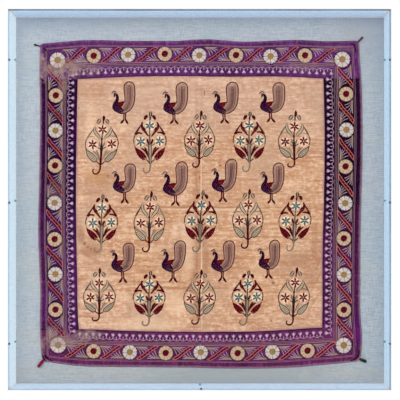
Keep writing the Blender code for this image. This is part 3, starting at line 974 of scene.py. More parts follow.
class EMBROIDERED_OT_cloth(PanelOperator):
    """Makes the silk field and the four border strips"""

    bl_idname = "embroidered.cloth"
    bl_label = "Silk Cloth"

    STRIP_CELLS = 21

    def build(self, scene):
        look = scene.cloth_finish
        across = stations(int(round(FIELD_W / look.cell)))
        up = stations(int(round(FIELD_H / look.cell)))
        field = cloth_sheet(
            "field_silk", across, up, field_places, self.peach(look), "silk_field", ["silk_field"],
            from_seam,
        )
        narrow = stations(self.STRIP_CELLS)
        long = stations(int(round(CLOTH_W / look.strip_cell)), CORNER_R / CLOTH_W)
        tall = stations(int(round(FIELD_H / look.strip_cell)))
        level = self.purple("level", look.rubbed, (look.level, look.level_low), ("Z", -1.0))
        pair, low = (look.upright, look.upright_right), (look.upright_low, look.upright_right_low)
        upright = self.purple("upright", look.rubbed, pair, ("X", 1.0), low)
        # Columns: name, shares across and up, places, finish, slot, flat width and length.
        strips = (
            ("top", long, narrow, level_places(1), level, "silk_border_level", (0.776, 0.088)),
            ("bottom", long, narrow, level_places(-1), level, "silk_border_level", (0.776, 0.084)),
            ("left", narrow, tall, upright_places(-1), upright, "silk_border_upright", (0.090, 0.612)),
            ("right", narrow, tall, upright_places(1), upright, "silk_border_upright", (0.090, 0.612)),
        )
        for side, u, v, place, finish, slot, flat in strips:
            name, node = f"{side}_border_silk", f"border_{side}"
            strip = cloth_sheet(name, u, v, place, finish, slot, [node], from_edge)

    def peach(self, look):
        """Aged peach silk: slubs along the weft, faded and stained patches, a few small marks, and painted
        shade and painted light on its wrinkles, creases and folds.
        """
        silk = Finish("silk_peach", roughness=0.5, specular=0.12)
        share = silk.maths("MULTIPLY_ADD", silk.patch((40, -70, 310, 240), 1.0), 0.65, 0.05)
        cloud = silk.times(silk.ease(silk.noise((5, 5, 4), 3.0, 0.55), 0.35, 0.7), 0.55)
        share = silk.maths("ADD", share, cloud, clamp=True)
        base = silk.mix(share, shaded(look.peach), shaded(look.peach_deep))
        blotch = silk.noise((26, 26, 30), 5.0, 0.7, 0.6)
        mottle = silk.noise((90, 90, 170), 4.0, 0.7)
        weft = silk.noise((7, 7, 420), 3.0, 0.6)
        warp = silk.noise((300, 9, 6), 3.0, 0.6)
        wrinkle_shading = silk.noise((14, 14, 130), 4.0, 0.6, 0.3, 0.06)
        grey = silk.noise((9, 9, 7), 3.0, turn=0.4)
        base = silk.tinge(base, (
            (blotch, 0.50, 0.66, 0.70, (196, 148, 112)), (blotch, 0.50, 0.34, 0.60, (238, 204, 172)),
            (mottle, 0.50, 0.66, 0.90, (186, 132, 98)), (mottle, 0.50, 0.36, 0.80, (242, 208, 184)),
            (weft, 0.42, 0.72, 0.30, (236, 198, 170)), (weft, 0.50, 0.28, 0.30, (178, 128, 92)),
            # The wrinkle noise paints shade and light on fine wrinkles, as dark lines and pale lines.
            (warp, 0.52, 0.30, 0.25, (186, 136, 104)), (wrinkle_shading, 0.52, 0.68, 0.60, (174, 118, 80)),
            (wrinkle_shading, 0.48, 0.34, 0.45, (240, 202, 166)), (grey, 0.46, 0.68, 0.50, (190, 154, 128)),
        ))
        # Painted shade along each crease: a thin dark line.
        for x0, z0, x1, z1, height, half in CREASES:
            box = (x0 + x1) / 2, (z0 + z1) / 2, math.hypot(x1 - x0, z1 - z0) / 2, half / 2
            line = silk.patch(box, 1.4, 2.8, math.atan2(z0 - z1, x1 - x0), 70)
            base = silk.lay(base, (164, 108, 76), line, height * CREASE_PAINTED_SHADE)
        faded = silk.patch((0, 240, 320, 60), 1.2, 0.8, grain=14)
        base = silk.lay(base, (200, 168, 150), faded, 0.35)
        # Painted shade and painted light beside the folds.
        for *box, share in PAINTED_FOLD_SHADING:
            rgb = (170, 116, 82) if share > 0 else (246, 210, 176)
            base = silk.lay(base, rgb, silk.patch(box, 1.2, 1.1, grain=45), abs(share))
        bled = silk.times(silk.ease(silk.tone(), 0.75, 0.1), silk.ease(blotch, 0.36, 0.60, 0.25, 0.75))
        base = silk.lay(base, (178, 128, 136), bled)
        for *box, red, green, blue, strength in STAINS:
            base = silk.lay(base, (red, green, blue), silk.patch(box, 0.9, 0.5), strength)
        ripple = silk.noise((16, 16, 70), 3.0, 0.6, 0.4)
        silk.bump(silk.maths("ADD", silk.times(weft, 0.35), ripple), 0.5, 0.0012)
        return silk.colour(base)

    def purple(self, name, rubbed, pair, axis, low=None):
        """Purple silk, mottled, faded along its edge and rubbed through to beige at the worn places.
        The pair holds the colours of the two strips that share a finish, the second one's strip lies to
        the given side of the axis, and low holds what the two fade to towards their lower ends."""
        silk = Finish(f"silk_purple_{name}", roughness=0.65, specular=0.03)
        second = silk.maths("GREATER_THAN", silk.times(silk.split(axis[0]), axis[1]), 0.0)
        base = silk.mix(second, *map(shaded, pair))
        if low is None:
            rim_share = silk.maths("MULTIPLY_ADD", second, 0.5, 0.5)
        else:
            fall = silk.ease(silk.split("Z"), 0.05, -0.16)
            base = silk.mix(fall, base, silk.mix(second, *map(shaded, low)))
            rim_share = 1.0
        clouds, threads = silk.noise(26, 5.0, 0.65), silk.noise(80, 3.0, 0.7)
        base = silk.mix(silk.ease(clouds, 0.58, 0.36, 0.0, 0.75), base, (0.5, 0.5, 0.5), "MULTIPLY")
        base = silk.mix(silk.ease(threads, 0.50, 0.72, 0.0, 0.75), base, (2.0, 2.2, 2.0), "MULTIPLY")
        rim = silk.tone()
        faded = silk.times(silk.ease(rim, 0.70, 0.10), silk.ease(threads, 0.35, 0.60, 0.45, 1.0))
        base = silk.lay(base, (146, 104, 136), faded, rim_share)
        comb = silk.noise((420, 60, 60) if low is None else (60, 60, 420), 3.0, 0.6)
        hem = silk.ease(rim, 1.7, 1.3)
        pale = silk.times(hem, silk.ease(comb, 0.50, 0.68, 0.0, 0.7))
        base = silk.mix(pale, base, (1.9, 1.7, 1.9), "MULTIPLY")
        deep = silk.times(hem, silk.ease(comb, 0.50, 0.34, 0.0, 0.6))
        base = silk.mix(deep, base, (0.45, 0.45, 0.45), "MULTIPLY")
        base = silk.lay(base, (84, 6, 100), silk.patch((383, -312, 12, 42), 0.6, 1.2), 0.6)
        bare = silk.mix(silk.ease(threads, 0.35, 0.62), shaded(tint(116, 84, 104)), shaded(rubbed))
        silk.bump(threads, 0.5, 0.0008)
        return silk.colour(silk.mix(worn_share(silk), base, bare))


def thread_finish(name, main, second, worn=False):
    """Silk floss: the colour goes from main to second by the row's tone, with painted shade along the sides
    of each row where it meets the next, fine strands as bump, and a rubbed look where the border is worn."""
    floss = Finish(f"thread_{name}", roughness=0.6, specular=0.03)
    main = shaded(main)
    tone = floss.tone()
    base = floss.mix(tone, main, shaded(second))
    base = floss.mix(floss.ease(tone, 0.0, -0.5, 0.0, 0.6), base, dimmed(main, 0.3))
    uv = floss.add("UVMap", 0, uv_map="stitch")
    along, across = (floss.add("SeparateXYZ", axis, {0: uv}) for axis in ("X", "Y"))
    aside = floss.maths("ABSOLUTE", across)
    # Painted shade along the row's sides, where rows meet.
    base = floss.mix(floss.times(floss.ease(aside, 0.55, 1.0), 0.45), base, dimmed(main, 0.45))
    mottle = floss.ease(floss.noise(90, 2.0, 0.6), 0.45, 0.75, 0.0, 0.6)
    base = floss.mix(mottle, base, (1.35, 1.3, 1.35), "MULTIPLY")
    if worn:
        base = floss.lay(base, (162, 134, 126), worn_share(floss), 0.65)
    strands = floss.maths("MULTIPLY_ADD", along, 6.283, floss.times(aside, 4.0))
    floss.bump(floss.maths("SINE", strands), 0.4, 0.0003)
    return floss.colour(base)


# Peacocks. Columns: x and z of the middle, width, height, drift aside and up, all in mm, and how far the
# legs stand to the right, in hundredths of the width.
PEACOCKS = (
    (-186.5, 237.9, 55.4, 103.1, 1.2, 0.5, 11), (-58.9, 236.8, 59.8, 101.9, -1.6, -0.6, -2),
    (63.5, 237.6, 61.7, 101.2, -3.0, -0.6, -4), (176.5, 238.6, 61.7, 97.5, -2.4, -0.3, -6),
    (-182.7, 41.6, 55.7, 96.8, -1.8, 4.6, 5.5), (-60.5, 42.2, 60.5, 108.2, 0.6, -0.8, 6),
    (60.1, 49.6, 59.8, 105.5, -2.4, 0.2, -2), (175.0, 43.2, 56.1, 99.9, -1.2, 0.0, 0),
    (-185.9, -149.7, 56.6, 97.0, -1.8, 4.8, 2.5), (-63.5, -145.7, 56.9, 101.2, -1.6, 2.0, 4),
    (55.5, -145.4, 56.9, 100.7, -1.4, 1.4, 2), (168.8, -140.4, 52.5, 94.4, -2.4, -0.4, -4),
)

# A peacock that faces left, in hundredths of its width and height from its lower left corner
NECK_FRONT = ((13.4, 68.8), (17.6, 64.2), (19.8, 58.6), (16.2, 52.6), (8.6, 47.6), (3.4, 42.4))
NECK_BACK = ((15.5, 70.8), (24.4, 68.8), (29.8, 63.5), (31.0, 57), (28.8, 50.5), (26.0, 46), (27, 41.6))
BELLY = (
    (9.4, 46.4), (3.6, 41), (2.8, 35.8), (8.0, 30.6), (19.6, 26.0), (31, 23.0), (42, 21.4), (51, 21.8),
    (56.5, 25.6),
)
BACK = (
    (25, 46.4), (29, 43.4), (33.5, 41), (38.5, 39.4), (43, 37.4), (47.5, 34.6), (51.5, 31.4), (54.6, 28.4),
    (56.5, 25.6),
)
HEAD = ((19, 68.6), (15, 68), (12.2, 65.4), (11.2, 62.2), (8.4, 60.4))
CREST = ((-1, 68.6), (4, 72.6), (10, 75.4), (16, 74.6), (22.4, 71))
CREST_PLUMES = (((12, 68.5), (5, 71.4)), ((12.8, 69), (10.6, 74.6)), ((14, 69.2), (17.4, 73.6)))
WING_TOP = ((21, 44.6), (27.5, 48.4), (36.5, 50), (46, 50.8), (58, 51.2))
WING_LOW = ((21, 44.6), (25, 40), (33.5, 37), (45.5, 39.8), (58, 51.2))
TRAIN_OUTLINE = (
    (53.5, 23.8), (62, 24.4), (71.5, 27.2), (85, 33.6), (96.6, 46.8), (100.6, 62), (100.4, 78.5),
    (98.4, 88.6), (90, 95), (76, 97.2), (63.6, 94.6), (55.4, 88.2), (54.2, 79), (56, 69), (57.8, 60),
    (58.2, 53.4), (56.8, 47.6),
)
TRAIN_LEFT = (
    (45, 37.6), (52.4, 40.6), (57.2, 45.4), (59.2, 51.4), (59.4, 58.4), (57.8, 67.2), (56.3, 77.2),
    (57.6, 86.6), (64.2, 92.6), (74.4, 95.2),
)
TRAIN_RIGHT = (
    (56.0, 25.8), (67.8, 27.4), (79.2, 31.6), (88.6, 38), (95.2, 48.2), (98.2, 62), (97.9, 78),
    (95.2, 87.4), (88.2, 93), (81.4, 94.8), (74.4, 95.2),
)
TRAIN_TONES = (0.1, 0.5, 0.35, 0.7, 0.45, 0.85, 0.7, 0.85, 0.45, 0.7, 0.35, 0.1)
TRAIN_EYES = ((76.6, 87), (77.4, 79.6), (78, 72.4), (78.4, 64), (78, 55.8), (76.6, 48))
BACK_FEATHERS = (
    ((44.5, 38.8), (53, 40.6), (59, 47)), ((48, 35.8), (58, 38.6), (64.8, 47.4)),
    ((51.4, 32.4), (64.4, 36), (71, 46)), ((55, 29), (70, 33), (77, 43)),
)
LEGS = (((43.6, 24), (43.4, 16), (43.8, 7)), ((50.8, 24), (50.8, 16), (50.6, 7)))
FEET = (((44.6, 9.5), (37.6, 3.8), (29.6, -0.6)), ((50.0, 9.5), (56.4, 3.4), (63.2, -1.4)))
PUPIL = (15.2, 66.2)

# The rows of one peacock, and of its legs, which stand where its stance says
PEACOCK = (
    ("bodies", ((BELLY, BACK),), 36, None, 10, (0, 0.2, 0.6, 0.8, 0.7, 0.5, 0.3, 0.2, 0.1, 0), 0.2),
    ("bodies", ((NECK_FRONT, NECK_BACK),), 24, None, 4, (0.0, 0.15, 0.2, 0.1), 0.1, 1.1),
    ("bodies", (HEAD,), 24, (3.4, 5.4, 4.6, 3.0, 1.4), 3, 0.1, 0.1, 1.1),
    ("wings", ((WING_TOP, WING_LOW),), 24, None, 7, (0, 0.3, 0.6, 0.8, 0.6, 0.3, 0), 0.15, 1.35),
    ("trains", ((TRAIN_LEFT, TRAIN_RIGHT),), 48, None, len(TRAIN_TONES), TRAIN_TONES, 0.1),
    ("trains", BACK_FEATHERS, 24, (1.2, 1.8, 1.2), 1, 0.9, 0.3, 1.1),
    ("outlines", (TRAIN_OUTLINE,), 96, (2.8, 2.6, 2.6, 2.6, 2.6, 2.6), 2, 0.25, 0.2, 1.1),
    ("crests", (CREST,), 24, (1.2, 2.2, 2.4, 2.2, 1.2), 1, 0.2),
    ("crests", CREST_PLUMES, 24, (1.3, 1.3), 1, 0.4),
)
PEACOCK_LEGS = (
    ("legs", LEGS, 24, (3.4, 2.8, 3.4), 2, 0.4),
    ("legs", FEET, 24, (3.4, 5.6, 3.4), 3, 0.15),
)


class EMBROIDERED_OT_peacocks(StitchOperator):
    """Stitches the twelve peacocks"""

    bl_idname = "embroidered.peacocks"
    bl_label = "Peacocks"

    PREFIX = "peacock"
    THREADS = (
        ("bodies", "night", "violet", "thread_brown"),
        ("wings", "wine", "wing", "thread_crimson"),
        ("trains", "train", "mauve", "silk_field"),
        ("outlines", "umber", "night", "thread_brown"),
        ("crests", "umber", "mauve", "thread_brown"),
        ("legs", "wine", "maroon", "thread_crimson"),
        ("eyes", "cream", "blush", "silk_field"),
    )

    # Rings: radius in m, points, then width, tone, height and length of the stitches.
    PUPIL_RING = (0.0006, 9), (0.0017, 0.0, 2.8, 0.003)
    EYE_RING = (0.0019, 17), (0.0013, 0.4, 1.4, 0.003)
    EYE_MIDDLE = (0.0006, 9), (0.0012, 0.0, 1.5, 0.003)

    def ring(self, rows, centre, path, stitches):
        rows.row(ring_path(centre, *path), *stitches)

    def sew(self, rows):
        for *box, across, up, stance in PEACOCKS:
            bend = rng.uniform((-0.02, 0, -0.03), (0.02, math.pi, 0.03))
            put = motif_chart(box, bend, (across, up, 0.0))
            sew_chart(rows, put, PEACOCK)
            sew_chart(rows, lambda line, points: put(np.add(line, (stance, 0)), points), PEACOCK_LEGS)
            self.ring(rows["eyes"], spot(put, PUPIL), *self.PUPIL_RING)
            for eye in TRAIN_EYES:
                self.ring(rows["outlines"], spot(put, eye), *self.EYE_RING)
                self.ring(rows["trains"], spot(put, eye), *self.EYE_MIDDLE)


# Flowering plants. Columns: x and z of the middle, width, height, drift aside and up, lean, in mm, kind.
# Kind A has maroon leaves and blue-grey stars, kind B has grey-green leaves and maroon stars.
PLANTS = (
    (-238.4, 134.2, 79.9, 142.5, 1.0, 0.0, 5.2, "B"), (-120.8, 140.6, 78.9, 150.5, 0.0, 0.8, 0.0, "A"),
    (-0.2, 148.3, 73.6, 137.4, -0.3, -4.2, 1.6, "B"), (119.5, 141.9, 78.4, 146.7, 0.4, 1.6, -2.0, "A"),
    (229.4, 149.2, 77.2, 137.4, -1.6, -8.0, 0.0, "B"), (-237.6, -55.3, 77.9, 141.8, 0.0, 0.2, 1.5, "A"),
    (-120.4, -50.7, 75.3, 147.6, -1.4, -4.8, 4.6, "B"), (2.4, -49.6, 78.9, 150.0, -0.6, -0.7, 7.5, "A"),
    (117.4, -43.6, 74.1, 144.2, -1.4, -5.3, 3.2, "B"), (229.7, -50.9, 77.9, 143.7, -0.4, 0.4, 7.5, "A"),
    (-244.0, -226.6, 77.7, 128.5, 0.6, -7.8, 0.0, "B"), (-121.9, -236.5, 77.7, 133.3, 0.0, -0.5, 3.2, "A"),
    (-0.8, -232.7, 77.2, 132.7, -0.5, -4.0, 4.6, "B"), (114.1, -235.1, 75.3, 133.3, 0.0, 0.2, 2.4, "A"),
    (228.9, -231.1, 75.5, 140.4, -1.3, -4.5, 5.3, "B"),
)

# A plant, in hundredths of its width and height from its lower left corner
BUD = ((52.4, 100), (53, 95.5), (51.4, 90))
BUD_BASE = ((51.4, 91), (51.4, 88), (51.2, 84.4))
SEPALS = (((44.6, 93.4), (38.8, 90.7), (33.0, 85.4)), ((58.0, 93.0), (63.5, 90.2), (67.8, 85.3)))
HEARTS = (
    ((28.0, 82.4), (25.6, 76.6), (29.4, 70.6), (37.1, 65.4), (46.4, 58.6)),
    ((72.4, 82.4), (76.0, 76.0), (72.0, 70.2), (64.4, 65.2), (54.2, 58.4)),
)
HEART_BARBS = (((30.8, 73.6), (34, 71.4), (37.4, 69.4)), ((70.4, 73.8), (67, 71), (63.2, 68.4)))
SHOULDERS = (
    ((26.4, 79.8), (19.2, 74), (11.4, 67.6), (4.6, 61.2)),
    ((73.8, 79.6), (81, 74.2), (88.6, 68), (95.8, 61)),
)
SHOULDER_BARBS = (((5.4, 61.6), (14, 64.4), (28, 63.4)), ((94.6, 62), (86, 64.6), (72, 65)))
FLANKS = (((4.4, 61), (0.6, 54), (0.8, 47)), ((95.8, 61), (99.4, 54), (97.6, 44)))
LEAVES = (
    (
        ((0.8, 47.2), (3.2, 41.5), (5.2, 36.6), (10.6, 30.2), (20.3, 23.9), (30.5, 20.7), (38, 22.6)),
        ((0.8, 47.2), (6.2, 41.6), (13.5, 39.0), (24.5, 35.2), (34.5, 29.6), (38.8, 25.4), (38, 22.6)),
    ),
    (
        ((97.4, 43.6), (95, 37.8), (92.0, 33.2), (87.2, 28.6), (79, 23.6), (69.6, 20.8), (62.6, 22.6)),
        ((97.4, 43.6), (91.6, 39.8), (85.6, 38.4), (76, 34.6), (67, 29.4), (62.6, 25.4), (62.6, 22.6)),
    ),
)
INNER_LEAVES = (
    ((23.1, 40.1), (35.5, 34.8), (41.5, 29.4), (46.9, 23.4)),
    ((33, 41.4), (38.6, 36.6), (42, 31), (46, 25.5)),
    ((69.2, 42.3), (63.4, 38.2), (59.4, 32.4), (53.1, 23.6)),
    ((77.6, 40.6), (69, 37.4), (61.6, 31.6), (55, 26)),
)
MIDDLE_LEAVES = (((42, 55), (43.2, 50.6), (46.4, 45.6)), ((59.2, 54.4), (55.8, 50), (52.6, 44.8)))
STEM = ((49.8, 46), (49.8, 40), (49.9, 32), (49.9, 23), (49.8, 15.4))
STEM_SIDES = (
    ((45.4, 47), (44.8, 38), (46.4, 25), (47.0, 15)), ((54.2, 47), (54.8, 38), (53.2, 25), (52.6, 15)),
)
STEM_KNOT = ((49.6, 49), (49.8, 44), (49.8, 38))
STALK = ((49.7, 70.4), (49.4, 62), (49.2, 54), (49.6, 45))
STALK_KNOT = ((49.3, 62), (49.0, 59.4), (49.2, 57.4))
DASHES = (((45.6, 43.2), (37.4, 45.8)), ((54.0, 43.4), (64.6, 47.0)))
BRANCHES = (((49.6, 16.4), (44, 18.8), (36.8, 22.4)), ((50, 16.4), (56, 18.6), (62.8, 22)))
TAIL = (
    (49.8, 16), (50.2, 10.8), (48.4, 5.4), (43.6, 1.8), (36.4, 0.8), (30.0, 3.0), (28.4, 7.0), (32.4, 9.4),
)
FLOWERS = ((50.2, 75.8), (22.4, 50.4), (79.8, 51.4))
FLOWER_R = 0.0136
STAR_RAY = 0.0116

# The rows of a plant of kind A, and those of kind B above and below its veined leaves
PLANT_A = (
    ("stems", (BUD,), 24, 8.0, 5, (-0.6, 0.1, 0.8, 0.1, -0.6), 0.04),
    ("leaves_maroon", (BUD_BASE,), 24, (3.8, 4.0, 2.4), 2, 0.0),
    ("leaves_maroon", SEPALS, 24, 7.6, 4, (0.0, 0.3, 0.3, 0.0)),
    ("leaves_maroon", HEARTS, 24, (3.2, 6.2, 6.0, 4.6, 3.0), 3, 0.35),
    ("leaves_maroon", HEART_BARBS, 24, (3.0, 4.2, 2.0), 2, 0.5),
    ("leaves_maroon", SHOULDERS, 24, (2.4, 3.2, 4.4, 5.4), 3, 0.25),
    ("leaves_maroon", SHOULDER_BARBS, 24, (4.6, 4.4, 3.4), 3, 0.3),
    ("stems", FLANKS, 24, (2.6, 2.2, 2.2), 1, -0.1),
    ("leaves_maroon", LEAVES, 32, None, 8, (0.0, 0.3, 0.6, 0.9, 0.8, 0.6, 0.3, 0.0), 0.15),
    ("leaves_maroon", INNER_LEAVES, 24, (3.2, 4.6, 3.6, 2.2), 2, 0.3),
    ("leaves_maroon", MIDDLE_LEAVES, 24, (4.2, 5.0, 2.8), 2, 0.1),
    ("stems", (STALK,), 24, (1.8, 3.0, 3.4, 5.0), 2, 0.1),
    ("stems", (STEM,), 24, (5.4, 6.6, 6.4, 5.0, 4.4), 4, 0.5, 0.3),
    ("stems", STEM_SIDES, 24, (1.8, 1.8, 1.6), 1, 0.0, 0.1, 1.3),
    ("stems", DASHES, 24, (2.0, 1.8), 1, 0.1),
    ("stems", BRANCHES, 24, (3.0, 2.6, 2.6), 2, 0.05),
    ("stems", (TAIL,), 48, (4.4, 4.0, 4.0, 3.8, 3.4, 2.8), 3, 0.5, 0.3),
)
PLANT_B_TOP = (
    ("stars_maroon", (BUD,), 24, 6.8, 3, (0.0, 0.25, 0.0)),
    ("stems", (BUD_BASE,), 24, (3.2, 3.2, 2.0), 2, -0.3),
    ("leaves_green", SEPALS, 24, 8.8, 5, (-0.6, 0.5, 0.9, 0.5, -0.6), 0.05),
    ("leaves_green", HEARTS, 24, 8.4, 5, (-0.45, 1.1, 0.9, 1.2, -0.45), 0.1),
    ("leaves_green", SHOULDERS, 24, (1.8, 2.6, 3.6, 3.2), 2, 0.2, 0.4),
    ("leaves_green", SHOULDER_BARBS, 24, (1.6, 3.0, 1.8), 2, 0.6, 0.4),
    ("leaves_green", FLANKS, 24, (2.0, 2.2, 2.0), 1, 0.0),
)
PLANT_B_FOOT = (
    ("leaves_green", INNER_LEAVES, 24, (2.0, 4.2, 3.4, 2.0), 3, 0.55, 0.45),
    ("leaves_green", MIDDLE_LEAVES, 24, (2.6, 3.8, 2.0), 2, 0.3),
    ("stems", (STALK,), 24, (2.2, 2.6, 3.4, 7.0), 2, -0.45),
    ("stems", (STALK_KNOT,), 24, (3.8, 5.2, 3.4), 2, -0.6, 0.1, 1.2),
    ("stars_maroon", (STEM,), 24, (7.6, 6.0, 5.2, 5.4, 4.6), 3, 0.15, 0.15),
    ("stems", (STEM_KNOT,), 24, (4.4, 8.4, 4.6), 3, -0.6, 0.2, 1.2),
    ("stems", DASHES, 24, (2.2, 2.0), 1, 0.0),
    ("stars_maroon", BRANCHES, 24, (3.2, 2.6, 2.6), 2, 0.0),
    ("stars_maroon", (TAIL,), 48, (4.4, 3.8, 3.6, 3.6, 3.2, 2.6), 2, 0.15),
)


class EMBROIDERED_OT_plants(StitchOperator):
    """Stitches the fifteen flowering plants"""

    bl_idname = "embroidered.plants"
    bl_label = "Flowering Plants"

    PREFIX = "plant"
    THREADS = (
        ("leaves_maroon", "wine", "maroon", "thread_crimson"),
        ("leaves_green", "moss", "reed", "thread_olive"),
        ("stems", "moss", "reed", "thread_olive"),
        ("flowers", "cream", "blush", "silk_field"),
        ("stars_blue", "slate", "moss", "thread_olive"),
        ("stars_maroon", "wine", "maroon", "thread_crimson"),
    )

    # Columns by kind: stars' group, and what is added to the tone of the discs and of the stars.
    KINDS = {"A": ("stars_blue", 0.0, 0.0), "B": ("stars_maroon", 0.7, 0.5)}

    # A flower: the disc's stitches, then the star's rays in mm of width, then the knot
    SPOKES, SPOKE_START, SPOKE_W, SPOKE_H, SPOKE_STITCH = 20, 0.0012, (0.0008, 0.0046), 0.55, 0.005
    RAYS, RAY_START, RAY_W, RAY_H = 6, 0.0014, (2.4, 4.2, 3.6), 1.5
    KNOT_R, KNOT_W, KNOT_H = 0.0005, 0.0014, 1.9

    # The veined leaves: rim's and veins' width, tone and height, then which points the veins start from and
    # how many points further on they end
    LEAF_RIM, LEAF_VEIN = (0.0023, -0.4, 1.3), (0.0016, -0.3, 1.6)
    VEINS, VEIN_SLANT = range(3, 26, 3), 5

    def sew(self, rows):
        for *measures, kind in PLANTS:
            bend = rng.uniform((-0.015, 0, -0.03), (0.015, math.pi, 0.03))
            put = motif_chart(measures[:4], bend, measures[4:])
            if kind == "A":
                sew_chart(rows, put, PLANT_A)
            else:
                sew_chart(rows, put, PLANT_B_TOP)
                self.veined_leaves(rows["leaves_green"], put)
                sew_chart(rows, put, PLANT_B_FOOT)
            stars, disc_tone, star_tone = self.KINDS[kind]
            for flower in FLOWERS:
                self.flower(rows["flowers"], rows[stars], spot(put, flower), disc_tone, star_tone)

    def flower(self, discs, stars, centre, disc_tone, star_tone):
        """A pale disc of radial stitches under a star of six rays, with a light knot in its middle."""
        turn = rng.uniform(0, 1)
        for n in range(self.SPOKES):
            angle = 2 * math.pi * (n + turn) / self.SPOKES
            path = spoke(centre, angle, self.SPOKE_START, FLOWER_R * rng.uniform(0.93, 1.04))
            tone = rng.uniform(0.0, 0.25) + disc_tone
            discs.row(path, self.SPOKE_W, tone, self.SPOKE_H, self.SPOKE_STITCH)
        for n in range(self.RAYS):
            angle = 2 * math.pi * (n / self.RAYS + 0.25) + rng.uniform(-0.1, 0.1)
            path = spoke(centre, angle, self.RAY_START, STAR_RAY * rng.uniform(0.92, 1.06), 8)
            stars.stroke(path, self.RAY_W, 2, rng.uniform(0.0, 0.4) + star_tone, 0.15, self.RAY_H)
        discs.row(ring_path(centre, self.KNOT_R, 7), self.KNOT_W, 0.1, self.KNOT_H, 0.002)

    def veined_leaves(self, green, put):
        """The two large leaves of kind B: a low fill, a rim on both sides, and slanting veins."""
        for outside, inside in LEAVES:
            outer, inner = put(outside, 32), put(inside, 32)
            green.fill(outer, inner, 6, (0.7, 1, 0.8, 1, 0.8, 0.9), 0.1, 0.7)
            for edge in (outer, inner):
                green.row(edge, *self.LEAF_RIM)
            for n in self.VEINS:
                green.row(np.linspace(outer[n], inner[n + self.VEIN_SLANT], 5), *self.LEAF_VEIN)


# Middles of the border's roundels, x and z in mm, clockwise from the top left corner. On each side they
# are by turns a daisy and a disc with a red heart, and the daisy at its far corner is the next side's first.
ROUNDELS = {
    "top": (
        (-343.7, 338.4), (-256.5, 349.0), (-173.7, 351.7), (-84.9, 353.5), (-1.7, 350.2), (87.1, 350.5),
        (170.4, 347.9), (253.8, 349.9),
    ),
    "right": (
        (343.6, 340.4), (352.9, 256.8), (353.8, 170.4), (351.4, 81.6), (350.7, -6.8), (347.5, -92.0),
        (347.5, -179.6), (347.5, -264.3),
    ),
    "bottom": (
        (347.0, -350.2), (259.9, -363.1), (174.9, -365.6), (91.0, -369.3), (1.8, -366.9), (-82.7, -368.8),
        (-169.4, -366.6), (-257.0, -364.4),
    ),
    "left": (
        (-342.3, -349.6), (-348.9, -264.0), (-349.4, -178.4), (-351.0, -93.9), (-351.0, -6.1), (-349.9, 84.0),
        (-348.9, 168.6), (-348.0, 253.4),
    ),
}
ROUNDEL_R = 0.0176
CORNER_DAISY_R = 0.0190

# The border from the hem's edge, share 0, to the seam, share 1. The nominal width is 37 parts.
PARTS = 37.0
PART = 0.00242
BAND_OUTER = {"top": 7.0 / PARTS, "right": 8.5 / PARTS, "bottom": 8.1 / PARTS, "left": 7.9 / PARTS}
BAND_INNER = {"top": 21.6 / PARTS, "right": 22.8 / PARTS, "bottom": 21.8 / PARTS, "left": 23.0 / PARTS}

# One fan: for each ray, how far its tip lies along the band from the roundel's middle and across it, in mm
FAN = ((46, 2.6), (44.5, 8.6), (40, 14.2), (34, 18.8), (27.5, 22.5))
FAN_ROOT = (12.5, 2.4)
FAN_WEB = ((21, 3.2), (19, 5.8), (25, 2.2))

# Share of red in the band's outer rows on each side
BAND_RED = {"top": 0.45, "right": 0.1, "bottom": 0.2, "left": 0.4}


def border_place(side, run, share):
    """x and z on the border. run goes clockwise along a side, and share goes in from hem to seam."""
    run, share = np.broadcast_arrays(np.asarray(run, float), share)
    along = run if side in ("top", "left") else -run
    sign = 1 if side in ("top", "right") else -1
    if side in ("top", "bottom"):
        across = level_edge(sign, along) * (1 - share) + seam_z(sign, along) * share
        return np.stack((along, across), axis=-1)
    across = edge_x(sign, along) * (1 - share) + seam_x(sign, along) * share
    return np.stack((across, along), axis=-1)


def border_corner(sign_x, sign_z, share):
    """Where two sides' lines of the same share cross. Each depends on the other, so it repeats."""
    x, z = sign_x * CLOTH_W / 2 * 0.9, sign_z * CLOTH_H / 2 * 0.9
    for _ in range(SETTLE_STEPS):
        x, z = (
            edge_x(sign_x, z) * (1 - share) + seam_x(sign_x, z) * share,
            level_edge(sign_z, x) * (1 - share) + seam_z(sign_z, x) * share,
        )
    return np.array((x, z), float)


SIDE_CORNERS = {
    "top": ((-1, 1), (1, 1)), "right": ((1, 1), (1, -1)),
    "bottom": ((1, -1), (-1, -1)), "left": ((-1, -1), (-1, 1)),
}


def run_of(side, place):
    """How far a place lies along its side, clockwise."""
    value = place[0] if side in ("top", "bottom") else place[1]
    return value if side in ("top", "left") else -value


def side_run(side, share):
    """The two ends of a line of this share along a side, as clockwise runs."""
    return [run_of(side, border_corner(*corner, share)) for corner in SIDE_CORNERS[side]]


